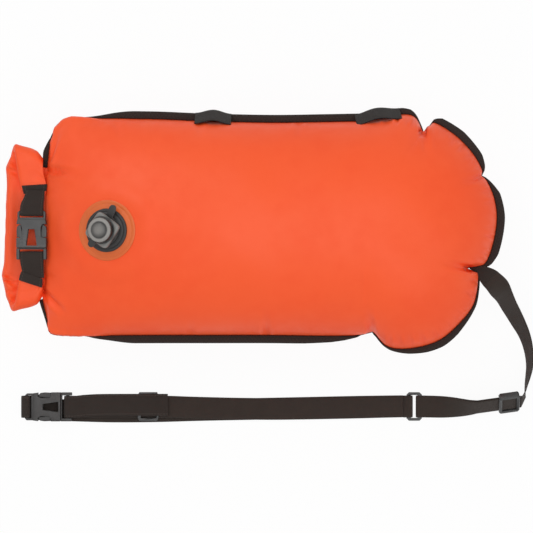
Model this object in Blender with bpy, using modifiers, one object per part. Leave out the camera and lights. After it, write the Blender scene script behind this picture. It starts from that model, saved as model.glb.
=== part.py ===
"""Open water swim buoy: an inflatable roll-top dry bag with a screw valve, a leash and a waist belt.

Metres, +Z up. The bag lies on its back panel at z = 0 with its mouth towards -X and its valve up.
The origin is under the middle of the bag. The leash and the belt lie on the same floor.
"""

import math

import bmesh
import bpy
from mathutils import Matrix, Vector

# Clearance between neighbouring pieces, and how far a cutter runs past what it cuts
GAP = 0.0003
OVERRUN = 0.002
WELD = 0.000001

# Webbing of the belt, the leash and the buckle loops
WEBBING_WIDTH = 0.025
WEBBING_WALL = 0.0014
SLOT_PLAY = 0.0007

# Bag: the welded outline, its panels, the flange outside the weld and the binding on it
BODY_LENGTH = 0.501
BODY_WIDTH = 0.258
BAG_THICKNESS = 0.164
PANEL_WALL = 0.001
FLANGE_WIDTH = 0.0082
FLANGE_START = 0.0008
BINDING_WALL = 0.0012
MOUTH_HALF_DEPTH = 0.005
FLOOR_SAG = 0.003
NOTCH_DEPTH = 0.008
NOTCH_FLANGE_SHARE = 0.25
FLANGE_TAPER_SHARES = (-0.01, 0.16)
CROWN_SHARE = 0.50
FAN_SHARE = 0.70
RING_SHARES = (0.2, 0.42, 0.62, 0.78, 0.9, 0.97, 1.0)
FOLD_POWER = 8
SIDE_STEPS = 13

# Welded outline as shares of the body's length from the mouth and of its width
UPPER_SIDE_SHARES = (
    (0.006, 0.360), (0.014, 0.420), (0.038, 0.478), (0.085, 0.497), (0.160, 0.487),
    (0.260, 0.478), (0.360, 0.470), (0.501, 0.464), (0.620, 0.467), (0.700, 0.470),
)
LOWER_SIDE_SHARES = (
    (0.006, -0.360), (0.013, -0.412), (0.034, -0.447), (0.085, -0.452), (0.160, -0.444),
    (0.260, -0.443), (0.360, -0.443), (0.501, -0.443), (0.620, -0.446), (0.700, -0.444),
)
# The gathered far end: swelling lobes between four notches
LOBE_SHARES = (
    ((0.700, 0.470), (0.750, 0.482), (0.795, 0.500), (0.822, 0.484), (0.839, 0.420)),
    ((0.839, 0.420), (0.853, 0.452), (0.866, 0.462), (0.910, 0.408), (0.947, 0.333),
     (0.966, 0.269), (0.967, 0.238)),
    ((0.967, 0.238), (0.978, 0.216), (0.994, 0.143), (1.000, 0.054), (0.992, -0.049),
     (0.976, -0.132), (0.957, -0.150), (0.934, -0.157)),
    ((0.934, -0.157), (0.950, -0.172), (0.959, -0.186), (0.957, -0.248), (0.947, -0.319),
     (0.923, -0.390), (0.882, -0.463), (0.837, -0.493), (0.787, -0.502), (0.755, -0.486),
     (0.732, -0.439), (0.726, -0.431)),
    ((0.726, -0.431), (0.700, -0.444)),
)
LOBE_STEPS = (5, 9, 11, 14, 1)
SMOOTHING_ROUNDS = 30

# Rolled mouth: fabric wound flat round a stiffener, with both ends folded over to the front
ROLL_WIDTH = 0.0475
ROLL_LENGTH = 0.185
ROLL_CENTRE_Y = 0.0039
ROLL_SHEET = 0.0018
ROLL_LAYER_GAP = 0.00035
ROLL_CORE = 0.0016
ROLL_FLAP_GAP = 0.001
FLAP_SPACING = 0.0988
FLAP_SHIFT = -0.0073
FOLD_WIDTH_SHARE = 0.86
FLAP_WIDTH_SHARE = 0.70
STIFFENER_WIDTH = 0.030
STIFFENER_WALL = 0.0014
ROLL_ARC_STEPS = 5
FOLD_STEPS = 6

# Grab loops on the long upper seam
LOOP_WIDTH = 0.025
LOOP_RISE = 0.004
LOOP_LEAN = math.radians(58)
LOOP_SHARES = (0.374, 0.738)
LEFT_LOOP_LENGTH = 0.040
RIGHT_LOOP_LENGTH = 0.050

# Webbing tabs on the folded ends of the roll
TAB_WIDTH = 0.028
TAB_LENGTH = 0.013
TAB_WALL = 0.0012

# Side-release buckle for 25 mm webbing, measured from the socket's mouth
BUCKLE_WIDTH = 0.033
BUCKLE_DEPTH = 0.009
SOCKET_LENGTH = 0.041
SOCKET_WALL = 0.0021
CAVITY_DEPTH = 0.0056
CAVITY_LENGTH = 0.028
WINDOW_START = 0.0111
WINDOW_END = 0.026
WINDOW_DEPTH = 0.0062
WINDOW_SLANT = 0.0018
GRIP_WINDOW = (0.0025, 0.0205)
GRIP_WIDTHS = (0.012, 0.007)
BAR_WIDTH = 0.0036
BAR_HALF_DEPTH = 0.0016
BAR_TURN_SHIFT = 0.0011
BAR_TURN_STEPS = 8
EAR_HALF_DEPTH = 0.003
SOCKET_SLOT = 0.004
PLUG_SLOT = 0.0046
PLUG_LIP = 0.0016
PLUG_EAR = 0.003
PLUG_HALF_DEPTH = 0.0036
PLUG_INSERT = 0.0009
RAIL_X = 0.0070
RAIL_WIDTH = 0.0016
RAIL_LENGTH = 0.0185
ARM_DEPTH = 0.0048
ARM_LENGTH = 0.0255
ARM_ROOT_Y = 0.0015
ARM_PIVOT_X = 0.0095
LATCH_CLEARANCE = 0.0004
EDGE_ROUND = 0.0006

# Belt and roll buckle places, and the belt's returned end
ROLL_BUCKLE_INSET = 0.01085
ROLL_BUCKLE_MOUTH_Y = -0.0186
BELT_BUCKLE_MOUTH_X = -0.221
BELT_Y = -0.200
BELT_SLIDER_X = -0.121
BELT_TAIL_SHIFT = 0.0024
BELT_LOOP_END = 0.002

# Slider that both layers of a strap pass through
SLIDER_LENGTH = 0.024
SLIDER_WIDTH = 0.033
SLIDER_BAR = 0.0036
SLIDER_BAR_WALL = 0.002
SLIDER_CENTRE_BAR = 0.004

# Rectangular ring between leash and belt
RING_LENGTH = 0.0178
RING_WIDTH = 0.0328
RING_BAR = 0.0052
RING_WALL = 0.002
RING_X = 0.1849
RING_CORNER_SHARE = 0.16

# Screw valve on the front panel
VALVE_SHARE = 0.149
VALVE_FLAT_RADIUS = 0.0345
VALVE_BLEND_RADIUS = 0.062
PATCH_RADIUS = 0.0328
PATCH_WALL = 0.0008
BASE_RADIUS = 0.0235
BASE_WALL = 0.0030
BASE_NECK_RADIUS = 0.0140
BASE_NECK_TOP = 0.0085
BASE_SLEEVE_RADIUS = 0.0125
BASE_SLEEVE_DEPTH = 0.006
BASE_BORE = 0.0103
BODY_SKIRT_RADIUS = 0.0100
BODY_BORE = 0.0060
BODY_WEB = 0.0015
COLLAR_FLAT = 0.0152
COLLAR_SQUARENESS = 7
COLLAR_TURN = math.radians(10)
COLLAR_WALL = 0.0052
BODY_NECK_RADIUS = 0.0090
BODY_NECK_HEIGHT = 0.0045
CAP_RADIUS = 0.0137
CAP_WALL = 0.0015
CAP_HEIGHT = 0.0050
PLUG_DOME_RADIUS = 0.0088
PLUG_DOME_HEIGHT = 0.0028
FLAP_RADIUS = 0.0078
FLAP_WALL = 0.0007
FLAP_STEM_RADIUS = 0.0011
AIR_HOLE_RADIUS = 0.0018
AIR_HOLE_CIRCLE = 0.0038
STRAP_RING_WALL = 0.0012
SEAL_SECTION = 0.0016
TETHER_WIDTH = 0.008
TETHER_REACH = 0.0295
CAP_TAB_REACH = 0.0225
TURN_STEPS = 28

# Leash root: x, y from the notch that it is sewn into and its width, gathered to full width
LEASH_ROOT_LIFT = 0.0038
LEASH_ROOT_ROUTE = (
    (0.0067, -0.0006, 0.0024), (0.0107, -0.0017, 0.0045), (0.0148, -0.0031, 0.0080),
    (0.0188, -0.0051, 0.0160), (0.0225, -0.0080, 0.0220), (0.0263, -0.0118, 0.0250),
)

# Leash and belt routes: x, y, z of the middle of the webbing, and its roll about its own length
LEASH_ROUTE = (
    (0.26302, -0.05252, 0.0858), (0.2692, -0.0587, 0.0853), (0.2752, -0.0657, 0.0800),
    (0.2808, -0.0730, 0.0690), (0.2872, -0.0825, 0.0545), (0.2940, -0.0920, 0.0415),
    (0.3012, -0.1030, 0.0305), (0.3080, -0.1145, 0.0220), (0.3130, -0.1270, 0.0160),
    (0.3158, -0.1400, 0.0133), (0.3163, -0.1530, 0.0130), (0.3146, -0.1640, 0.0131),
    (0.3124, -0.1740, 0.0137), (0.3108, -0.1825, 0.0147), (0.3092, -0.1882, 0.0156),
)
LEASH_ROLL_DEGREES = (0, 4, 26, 42, 48, 52, 57, 64, 70, 75, 80, 85, 91, 98, 108)
LEASH_DOUBLED_START = (0.3062, -0.1934, 0.0162)
LEASH_DOUBLED_ROUTE = (
    (0.2560, -0.2004, 0.0160), (0.2470, -0.2012, 0.0144), (0.2370, -0.2012, 0.0121),
    (0.2260, -0.2008, 0.0092), (0.2150, -0.2004, 0.0066), (0.2060, -0.2001, 0.0052),
    (0.1960, -0.2000, 0.0050),
)
DOUBLED_ROLL_DEGREES = (126, 134, 145, 158, 171, 180, 180)
DOUBLED_STEPS = 6
LEASH_TAIL_START = 0.0022
LEASH_SLIDER_AT = 0.0140
BELT_BACK_ROUTE = (
    (0.172, -0.1998), (0.140, -0.2002), (0.105, -0.2008), (0.050, -0.2020), (0.000, -0.2030),
    (-0.060, -0.2042), (-0.110, -0.2056), (-0.160, -0.2060), (-0.200, -0.2050), (-0.240, -0.2036),
    (-0.262, -0.2030),
)
BELT_TAIL_ROUTE = ((-0.0982, 1.0), (BELT_SLIDER_X, 1.0), (-0.150, 1.0), (-0.178, 0.9), (-0.195, 0.5))
BELT_FRONT_ROUTE = (
    (0.172, -0.1998, 0.0050), (0.150, -0.2003, 0.0048), (0.120, -0.2012, 0.0036),
    (0.085, -0.2020, 0.0028), (0.053, -0.2026, 0.0027), (0.019, -0.2029, 0.0027),
    (-0.020, -0.2025, 0.0027), (-0.050, -0.2018, 0.0030), (-0.075, -0.2010, 0.0041),
    (-0.095, -0.2002, 0.0050), (-0.121, -0.2000, 0.0050), (-0.150, -0.2000, 0.0050),
    (-0.180, -0.2000, 0.0050), (-0.197, -0.2000, 0.0050),
)
ROUTE_STEPS = 3

# Worked out from the sizes above
SEAM_Z = BAG_THICKNESS / 2
PANEL_BASE = GAP / 2 + PANEL_WALL
BINDING_REACH = FLANGE_WIDTH + GAP + BINDING_WALL
BAG_LENGTH = ROLL_WIDTH + GAP + BODY_LENGTH + BINDING_REACH
MOUTH_X = ROLL_WIDTH + GAP - BAG_LENGTH / 2
ROLL_RIGHT = MOUTH_X - GAP
ROLL_BUCKLE_X = ROLL_RIGHT - ROLL_BUCKLE_INSET
SLOT_HALF = WEBBING_WIDTH / 2 + SLOT_PLAY

# Turns that lay a flat outline across a buckle and across a slider
ACROSS_BUCKLE = Matrix(((0, 0, 1), (1, 0, 0), (0, 1, 0)))
ACROSS_SLIDER = Matrix(((1, 0, 0), (0, 0, -1), (0, 1, 0)))

COLOURS = {
    "orange": ((0.93, 0.10, 0.035, 1), 0.38),
    "webbing": ((0.035, 0.028, 0.025, 1), 0.85),
    "plastic": ((0.055, 0.055, 0.052, 1), 0.45),
    "grey": ((0.12, 0.12, 0.12, 1), 0.5),
    "patch": ((0.62, 0.16, 0.05, 1), 0.35),
    "rubber": ((0.02, 0.02, 0.02, 1), 0.6),
    "core": ((0.5, 0.5, 0.48, 1), 0.6),
}


def collection(name):
    """A new collection in the scene."""
    made = bpy.data.collections.new(name)
    bpy.context.scene.collection.children.link(made)
    return made


def material_for(name, colour):
    """A plain material of the sub-part's own colour."""
    rgba, roughness = COLOURS[colour]
    made = bpy.data.materials.new(name)
    made.use_nodes = True
    shader = made.node_tree.nodes["Principled BSDF"]
    shader.inputs["Base Color"].default_value = rgba
    shader.inputs["Roughness"].default_value = roughness
    made.diffuse_color = rgba
    return made


def add_object(name, data, colour=None, group="parts"):
    """Link new data as an object, as a part with its material or as a cutter."""
    made = bpy.data.objects.new(name, data)
    GROUPS[group].objects.link(made)
    if colour:
        data.materials.append(material_for(name, colour))
    if group == "cutters":
        made.hide_render = True
        made.display_type = "WIRE"
    return made


def mesh_from(name, points, faces):
    """A mesh of points and faces, with its normals made to agree."""
    mesh = bpy.data.meshes.new(name)
    mesh.from_pydata([tuple(point) for point in points], [], faces)
    work = bmesh.new()
    work.from_mesh(mesh)
    bmesh.ops.recalc_face_normals(work, faces=work.faces)
    work.to_mesh(mesh)
    work.free()
    return mesh


def shade(made, angle=35):
    """Smooth shading with sharp edges where the surface turns."""
    made.data.shade_smooth()
    made.data.set_sharp_from_angle(angle=math.radians(angle))


def loft(name, rings, colour, turned_quads=()):
    """A closed solid through rings of as many points each, with flat ends.

    turned_quads holds (row, side) pairs whose face starts one corner later, so that it is split
    along its other diagonal.
    """
    count = len(rings[0])
    points = [point for ring in rings for point in ring]
    faces = [tuple(range(count)), tuple(range((len(rings) - 1) * count, len(rings) * count))]
    for row in range(len(rings) - 1):
        start = row * count
        for i in range(count):
            j = (i + 1) % count
            quad = (start + i, start + j, start + count + j, start + count + i)
            faces.append(quad[1:] + quad[:1] if (row, i) in turned_quads else quad)
    made = add_object(name, mesh_from(name, points, faces), colour)
    shade(made)
    return made


def outline_curve(name, outlines, depth, rounding=0):
    """A flat curve of closed outlines, the later ones holes in the first, as thick as depth."""
    curve = bpy.data.curves.new(name, "CURVE")
    curve.dimensions = "2D"
    curve.fill_mode = "BOTH"
    curve.extrude = depth / 2 - rounding
    curve.bevel_depth = rounding
    curve.bevel_resolution = 0
    curve.offset = -rounding
    for outline in outlines:
        spline = curve.splines.new("POLY")
        spline.points.add(len(outline) - 1)
        for point, (x, y) in zip(spline.points, outline):
            point.co = (x, y, 0, 1)
        spline.use_cyclic_u = True
    return curve


def plate(name, outlines, depth, place, colour=None, group="parts", rounding=0):
    """The mesh of a flat outline, welded at its caps."""
    shape = bpy.data.objects.new(name + "_outline", outline_curve(name, outlines, depth, rounding))
    GROUPS[group].objects.link(shape)
    shape.matrix_world = place
    bpy.context.view_layer.update()
    evaluated = shape.evaluated_get(bpy.context.evaluated_depsgraph_get())
    mesh = bpy.data.meshes.new_from_object(evaluated)
    work = bmesh.new()
    work.from_mesh(mesh)
    bmesh.ops.remove_doubles(work, verts=work.verts, dist=WELD)
    bmesh.ops.recalc_face_normals(work, faces=work.faces)
    work.to_mesh(mesh)
    work.free()
    made = add_object(name, mesh, colour, group)
    made.matrix_world = shape.matrix_world
    bpy.data.objects.remove(shape)
    return made


def box_cutter(name, low, high, place):
    """A box between two corners, given in the frame of the piece it cuts."""
    low, high = Vector(low), Vector(high)
    size = high - low
    work = bmesh.new()
    fit = Matrix.Translation((low + high) / 2) @ Matrix.Diagonal((*size, 1))
    bmesh.ops.create_cube(work, size=1, matrix=fit)
    mesh = bpy.data.meshes.new(name)
    work.to_mesh(mesh)
    work.free()
    made = add_object(name, mesh, group="cutters")
    made.matrix_world = place
    return made


def round_cutter(name, radius, low, high, place, steps=TURN_STEPS):
    """A cylinder along the local Z axis between two heights."""
    work = bmesh.new()
    bmesh.ops.create_cone(
        work, cap_ends=True, segments=steps, radius1=radius, radius2=radius, depth=high - low,
        matrix=Matrix.Translation((0, 0, (low + high) / 2)),
    )
    mesh = bpy.data.meshes.new(name)
    work.to_mesh(mesh)
    work.free()
    made = add_object(name, mesh, group="cutters")
    made.matrix_world = place
    return made


def slot_cutter(name, profile, width, place, turn):
    """A cutter of one profile across a strap's whole width, turned into the piece's frame."""
    return plate(name, [profile], width, place @ turn.to_4x4(), group="cutters")


def boolean(made, other, operation="DIFFERENCE"):
    """Cut or join one mesh with another."""
    step = made.modifiers.new(other.name, "BOOLEAN")
    step.operation = operation
    step.object = other
    step.solver = "EXACT"


def turned(name, profile, place, colour, steps=TURN_STEPS):
    """A turned shape: a profile of (radius, height) points swept round the local Z axis."""
    mesh = bpy.data.meshes.new(name)
    closed = all(radius > 0 for radius, _ in profile)
    edges = [(i, i + 1) for i in range(len(profile) - 1)]
    if closed:
        edges.append((len(profile) - 1, 0))
    mesh.from_pydata([(radius, 0, height) for radius, height in profile], edges, [])
    made = add_object(name, mesh, colour)
    made.matrix_world = place
    screw = made.modifiers.new("turn", "SCREW")
    screw.axis = "Z"
    screw.steps = steps
    screw.render_steps = steps
    screw.use_merge_vertices = True
    screw.merge_threshold = WELD
    screw.use_smooth_shade = True
    return made


def spline_points(keys, steps):
    """Points of a smooth curve through the keys, as many to each key interval as steps."""
    points = []
    last = len(keys) - 1
    for i in range(last):
        a, b, c, d = (Vector(keys[min(max(j, 0), last)]) for j in (i - 1, i, i + 1, i + 2))
        for k in range(steps):
            t = k / steps
            points.append(((2 * b) + (c - a) * t + (2 * a - 5 * b + 4 * c - d) * t**2
                           + (3 * b - a - 3 * c + d) * t**3) / 2)
    points.append(Vector(keys[last]))
    return points


def resample(keys, count):
    """As many even steps as count along the smooth curve through the keys."""
    fine = spline_points(keys, SIDE_STEPS)
    lengths = [0]
    for one, two in zip(fine, fine[1:]):
        lengths.append(lengths[-1] + (two - one).length)
    points = []
    for k in range(count + 1):
        wanted = lengths[-1] * k / count
        i = next(j for j in range(1, len(fine)) if lengths[j] >= wanted or j == len(fine) - 1)
        share = (wanted - lengths[i - 1]) / (lengths[i] - lengths[i - 1])
        points.append(fine[i - 1].lerp(fine[i], min(share, 1)))
    return points


def body_point(share):
    """A welded outline point in metres from its shares of the body's length and width."""
    return Vector((MOUTH_X + share[0] * BODY_LENGTH, share[1] * BODY_WIDTH))


def smoothstep(low, high, value):
    """0 below low, 1 above high, and smooth between."""
    share = min(max((value - low) / (high - low), 0), 1)
    return share * share * (3 - 2 * share)


def welded_outline():
    """The welded outline from the upper mouth corner round the far end to the lower mouth corner.

    Each entry holds the seam point, the same point on the outline without its notches, the point
    of the middle line that its rib starts from, and the part of the flange's width that it keeps.
    """
    upper = resample([body_point(share) for share in UPPER_SIDE_SHARES], SIDE_STEPS)
    lower = resample([body_point(share) for share in LOWER_SIDE_SHARES], SIDE_STEPS)
    fan = []
    for keys, steps in zip(LOBE_SHARES, LOBE_STEPS):
        fan += resample([body_point(share) for share in keys], steps)[:-1]
    fan.append(body_point(LOBE_SHARES[-1][-1]))
    even = list(fan)
    for _ in range(SMOOTHING_ROUNDS):
        even = [even[0]] + [
            (a + 2 * b + c) / 4 for a, b, c in zip(even, even[1:], even[2:])
        ] + [even[-1]]
    seam = upper[:-1] + fan + lower[-2::-1]
    plain = upper[:-1] + even + lower[-2::-1]
    centre = Vector((MOUTH_X + FAN_SHARE * BODY_LENGTH, 0))
    spine = [Vector(((a.x + b.x) / 2, 0)) for a, b in zip(upper, lower)][:-1]
    spine = spine + [centre] * len(fan) + spine[::-1]
    outline = []
    for i, (point, smooth, middle) in enumerate(zip(seam, plain, spine)):
        tangent = plain[min(i + 1, len(plain) - 1)] - plain[max(i - 1, 0)]
        outward = Vector((-tangent.y, tangent.x)).normalized()
        inset = min(max((smooth - point).dot(outward) / NOTCH_DEPTH, 0), 1)
        from_mouth = (point.x - MOUTH_X) / BODY_LENGTH
        width = (1 - (1 - NOTCH_FLANGE_SHARE) * inset) * smoothstep(*FLANGE_TAPER_SHARES, from_mouth)
        outline.append((point, smooth, middle, outward, width))
    return outline


def swell(x, share, full):
    """Height of the blown-up bag over the seam plane, at a share of the way from middle to seam."""
    crown = MOUTH_X + CROWN_SHARE * BODY_LENGTH
    along = min(max((crown - x) / (crown - MOUTH_X), 0), 1)
    at_mouth = MOUTH_HALF_DEPTH / full
    return full * math.sqrt(1 - (1 - at_mouth**2) * along**2) * math.sqrt(max(1 - share**2, 0))


def valve_frame():
    """The valve's place: its origin on the front panel and its Z axis square to the panel."""
    crown = MOUTH_X + CROWN_SHARE * BODY_LENGTH
    x = MOUTH_X + VALVE_SHARE * BODY_LENGTH
    full = SEAM_Z - PANEL_BASE
    height = swell(x, 0, full)
    slope = full**2 * (crown - x) / (crown - MOUTH_X) ** 2 / height
    lean = Matrix.Rotation(-math.atan(slope), 4, "Y")
    return Matrix.Translation((x, 0, SEAM_Z + PANEL_BASE + height)) @ lean, slope


def front_height(x, y, share):
    """Outer surface of the front panel, flat where the valve's stiff patch is welded on."""
    z = SEAM_Z + PANEL_BASE + swell(x, share, SEAM_Z - PANEL_BASE)
    place, slope = valve_frame()
    valve = place.translation
    level = valve.z + slope * (x - valve.x)
    away = math.hypot(x - valve.x, y - valve.y)
    return z + (level - z) * (1 - smoothstep(VALVE_FLAT_RADIUS, VALVE_BLEND_RADIUS, away))


def back_height(x, y, share):
    """Outer surface of the back panel, pressed flat where it lies on the floor."""
    return max(SEAM_Z - PANEL_BASE - swell(x, share, SEAM_Z - PANEL_BASE + FLOOR_SAG), 0)


def panel(name, height, up):
    """One of the two welded panels: ribs across the bag, a fan of them at the far end, a flange."""
    outline = welded_outline()
    points = []
    faces = []

    def ray(entry):
        point, smooth, middle, outward, width = entry
        made = []
        for share in RING_SHARES:
            flat = middle + (smooth - middle) * share + (point - smooth) * share**FOLD_POWER
            points.append((flat.x, flat.y, height(flat.x, flat.y, share)))
            made.append(len(points) - 1)
        rim = point + outward * FLANGE_WIDTH * width
        points.append((rim.x, rim.y, SEAM_Z + (PANEL_BASE if up else -PANEL_BASE)))
        return made + [len(points) - 1]

    rays = [ray(entry) for entry in outline]
    centres = []
    for entry in outline[:SIDE_STEPS + 1]:
        middle = entry[2]
        points.append((middle.x, 0, height(middle.x, 0, 0)))
        centres.append(len(points) - 1)
    last = len(outline) - 1
    for k in range(SIDE_STEPS):
        for side in (0, 1):
            here = [centres[k]] + rays[last - k if side else k]
            there = [centres[k + 1]] + rays[last - k - 1 if side else k + 1]
            for a in range(len(here) - 1):
                faces.append((here[a], here[a + 1], there[a + 1], there[a]))
    pole = centres[SIDE_STEPS]
    for k in range(SIDE_STEPS, last - SIDE_STEPS):
        here, there = rays[k], rays[k + 1]
        faces.append((pole, here[0], there[0]))
        for a in range(len(here) - 1):
            faces.append((here[a], here[a + 1], there[a + 1], there[a]))
    mesh = mesh_from(name, points, faces)
    if (sum(face.normal.z * face.area for face in mesh.polygons) > 0) != up:
        mesh.flip_normals()
    made = add_object(name, mesh, "orange")
    shade(made, 60)
    wall = made.modifiers.new("wall", "SOLIDIFY")
    wall.thickness = PANEL_WALL
    wall.offset = -1
    return made


def seam_binding():
    """Webbing folded round the welded flange."""
    inner = PANEL_BASE + GAP
    outer = inner + BINDING_WALL
    rings = []
    for point, _, _, outward, width in welded_outline():
        floor = FLANGE_WIDTH * width + GAP
        reach = floor + BINDING_WALL
        section = (
            (FLANGE_START, outer), (reach, outer), (reach, -outer), (FLANGE_START, -outer),
            (FLANGE_START, -inner), (floor, -inner), (floor, inner), (FLANGE_START, inner),
        )
        rings.append([
            Vector((*(point + outward * out), SEAM_Z + up)) for out, up in section
        ])
    return loft("seam_binding", rings, "webbing")


def ribbon_section(path, wall):
    """The closed outline of a strip of even thickness along a flat path of (u, v) points."""
    left, right = [], []
    for i, point in enumerate(path):
        along = (path[min(i + 1, len(path) - 1)] - path[max(i - 1, 0)]).normalized()
        side = Vector((-along.y, along.x)) * wall / 2
        left.append(point + side)
        right.append(point - side)
    return left + right[::-1]


def roll_section():
    """The rolled mouth's section: fabric wound flat for a turn and a half."""
    pitch = ROLL_SHEET + ROLL_LAYER_GAP
    deepest = ROLL_CORE + 1.5 * pitch + ROLL_SHEET / 2
    half = ROLL_WIDTH / 2 - deepest
    path = [Vector((half, ROLL_CORE))]
    for turn in range(3):
        side = -1 if turn % 2 == 0 else 1
        start = ROLL_CORE + turn * pitch / 2
        for k in range(ROLL_ARC_STEPS + 1):
            share = k / ROLL_ARC_STEPS
            radius = start + share * pitch / 2
            angle = math.pi / 2 + math.pi * (turn + share)
            path.append(Vector((side * half + radius * math.cos(angle), radius * math.sin(angle))))
    path.append(Vector((ROLL_WIDTH / 2, path[-1].y)))
    return ribbon_section(path, ROLL_SHEET)


def roll_stations():
    """Stations of the rolled mouth from one folded end to the other: centre, up vector, share of
    the roll's full width."""
    pitch = ROLL_SHEET + ROLL_LAYER_GAP
    inside = ROLL_CORE + pitch + ROLL_SHEET / 2
    outside = ROLL_CORE + 1.5 * pitch + ROLL_SHEET / 2
    radius = inside + ROLL_FLAP_GAP / 2
    bend = ROLL_LENGTH / 2 - radius - outside
    stations = []
    for side in (1, -1):
        part = [(flap_end(side), 2 * radius, -1, FLAP_WIDTH_SHARE)]
        for k in range(FOLD_STEPS + 1):
            angle = math.pi / 2 - math.pi * k / FOLD_STEPS
            width = FOLD_WIDTH_SHARE + (FLAP_WIDTH_SHARE - FOLD_WIDTH_SHARE) * (1 - k / FOLD_STEPS)
            part.append((
                bend + radius * math.cos(angle), radius + radius * math.sin(angle), angle, width,
            ))
        part.append((bend / 2, 0, None, 1))
        half = []
        for y, z, angle, width in part:
            if angle is None:
                up = Vector((0, 0, 1))
            elif angle == -1:
                up = Vector((0, 0, -1))
            else:
                up = Vector((0, -side * math.cos(angle), -math.sin(angle)))
            half.append((Vector((0, ROLL_CENTRE_Y + side * y, SEAM_Z + z)), up, width))
        stations += half if side == 1 else half[::-1]
    return stations


def flap_end(side):
    """How far from the roll's middle a folded end comes back to, on the side 1 or -1."""
    return FLAP_SPACING / 2 + side * FLAP_SHIFT


def roll_sweep(name, section, colour):
    """A section swept along the rolled mouth, its edge on the bag's side kept in line."""
    rings = []
    for centre, up, width in roll_stations():
        middle = ROLL_RIGHT - ROLL_WIDTH * width / 2
        rings.append([
            Vector((middle + point.x * width, 0, 0)) + centre + up * point.y for point in section
        ])
    return loft(name, rings, colour)


def rolled_mouth():
    """The rolled fabric and the stiffener strip that it is wound round."""
    roll_sweep("rolled_mouth", roll_section(), "orange")
    pitch = ROLL_SHEET + ROLL_LAYER_GAP
    middle = -pitch / 4
    half = STIFFENER_WIDTH / 2
    rise = STIFFENER_WALL / 2
    section = [
        Vector((-half, middle - rise)), Vector((half, middle - rise)),
        Vector((half, middle + rise)), Vector((-half, middle + rise)),
    ]
    roll_sweep("mouth_stiffener", section, "core")


def flap_top():
    """Height of the upper face of the folded ends."""
    pitch = ROLL_SHEET + ROLL_LAYER_GAP
    inside = ROLL_CORE + pitch + ROLL_SHEET / 2
    outside = ROLL_CORE + 1.5 * pitch + ROLL_SHEET / 2
    return SEAM_Z + 2 * (inside + ROLL_FLAP_GAP / 2) + outside


def strap(name, stations, colour="webbing", width=WEBBING_WIDTH, wall=WEBBING_WALL, back_from=None):
    """Flat webbing through stations of a centre point and the direction of its width.

    A station may carry its own width as a third value. Both faces are split along the same
    diagonals, so a twisted strap keeps its wall, and so are the two layers of a strap that comes
    back along itself from the station back_from.
    """
    rings = []
    for i, station in enumerate(stations):
        centre, across = station[0], station[1].normalized()
        here = station[2] if len(station) > 2 else width
        before = stations[max(i - 1, 0)][0]
        after = stations[min(i + 1, len(stations) - 1)][0]
        normal = across.cross((after - before).normalized()).normalized()
        out, up = across * here / 2, normal * wall / 2
        rings.append([centre - out - up, centre + out - up, centre + out + up, centre - out + up])
    back = len(stations) if back_from is None else back_from
    turned_quads = {(row, 2 if row < back else 0) for row in range(len(stations))}
    return loft(name, rings, colour, turned_quads)


def arc(centre, radius, start, end, steps=6):
    """Points of an arc in a flat (u, v) frame, angles in degrees."""
    return [
        Vector((
            centre[0] + radius * math.cos(math.radians(start + (end - start) * k / steps)),
            centre[1] + radius * math.sin(math.radians(start + (end - start) * k / steps)),
        ))
        for k in range(steps + 1)
    ]


def flat_strap(name, path, place, across=Vector((1, 0, 0))):
    """Webbing along a path of (y, z) points in a buckle's frame."""
    turn = place.to_3x3()
    stations = [(place @ Vector((0, point[0], point[1])), turn @ across) for point in path]
    return strap(name, stations)


def grab_loops():
    """Webbing loops that lean on the bag's side above the binding of the long upper seam."""
    outline = [entry[0] for entry in welded_outline()]
    names = ("left_grab_loop", "right_grab_loop")
    for name, share, length in zip(names, LOOP_SHARES, (LEFT_LOOP_LENGTH, RIGHT_LOOP_LENGTH)):
        x = MOUTH_X + share * BODY_LENGTH
        ends = []
        for end in (x - length / 2, x + length / 2):
            i = next(k for k, point in enumerate(outline) if k and point.x >= end)
            one, two = outline[i - 1], outline[i]
            ends.append(one.lerp(two, (end - one.x) / (two.x - one.x)))
        chord = (ends[1] - ends[0]).normalized()
        outward = Vector((-chord.y, chord.x))
        above = [point for point in outline if ends[0].x <= point.x <= ends[1].x and point.y > 0]
        bulge = max((point - ends[0]).dot(outward) for point in above + ends)
        seam = (ends[0] + ends[1]) / 2 + outward * bulge
        out = Vector((*outward, 0))
        along = Vector((outward.y, -outward.x, 0))
        across = -math.cos(LOOP_LEAN) * out + math.sin(LOOP_LEAN) * Vector((0, 0, 1))
        off = math.sin(LOOP_LEAN) * out + math.cos(LOOP_LEAN) * Vector((0, 0, 1))
        foot = Vector((*seam, SEAM_Z)) + out * BINDING_REACH + off * (
            (PANEL_BASE + GAP + BINDING_WALL) * math.cos(LOOP_LEAN) + GAP + WEBBING_WALL / 2)
        middle = foot + across * LOOP_WIDTH / 2
        stations = []
        for k in range(9):
            span = k / 8
            rise = LOOP_RISE * math.sin(math.pi * span) ** 2
            stations.append((middle + along * length * (span - 0.5) + off * rise, across))
        strap(name, stations, width=LOOP_WIDTH)


def buckle_outline_mirrored(points):
    """A closed outline from the points of its right half."""
    return points + [(-x, y) for x, y in reversed(points)]


def rectangle(half_width, low, high):
    """A rectangle across the buckle's middle line."""
    return [(-half_width, low), (-half_width, high), (half_width, high), (half_width, low)]


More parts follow.
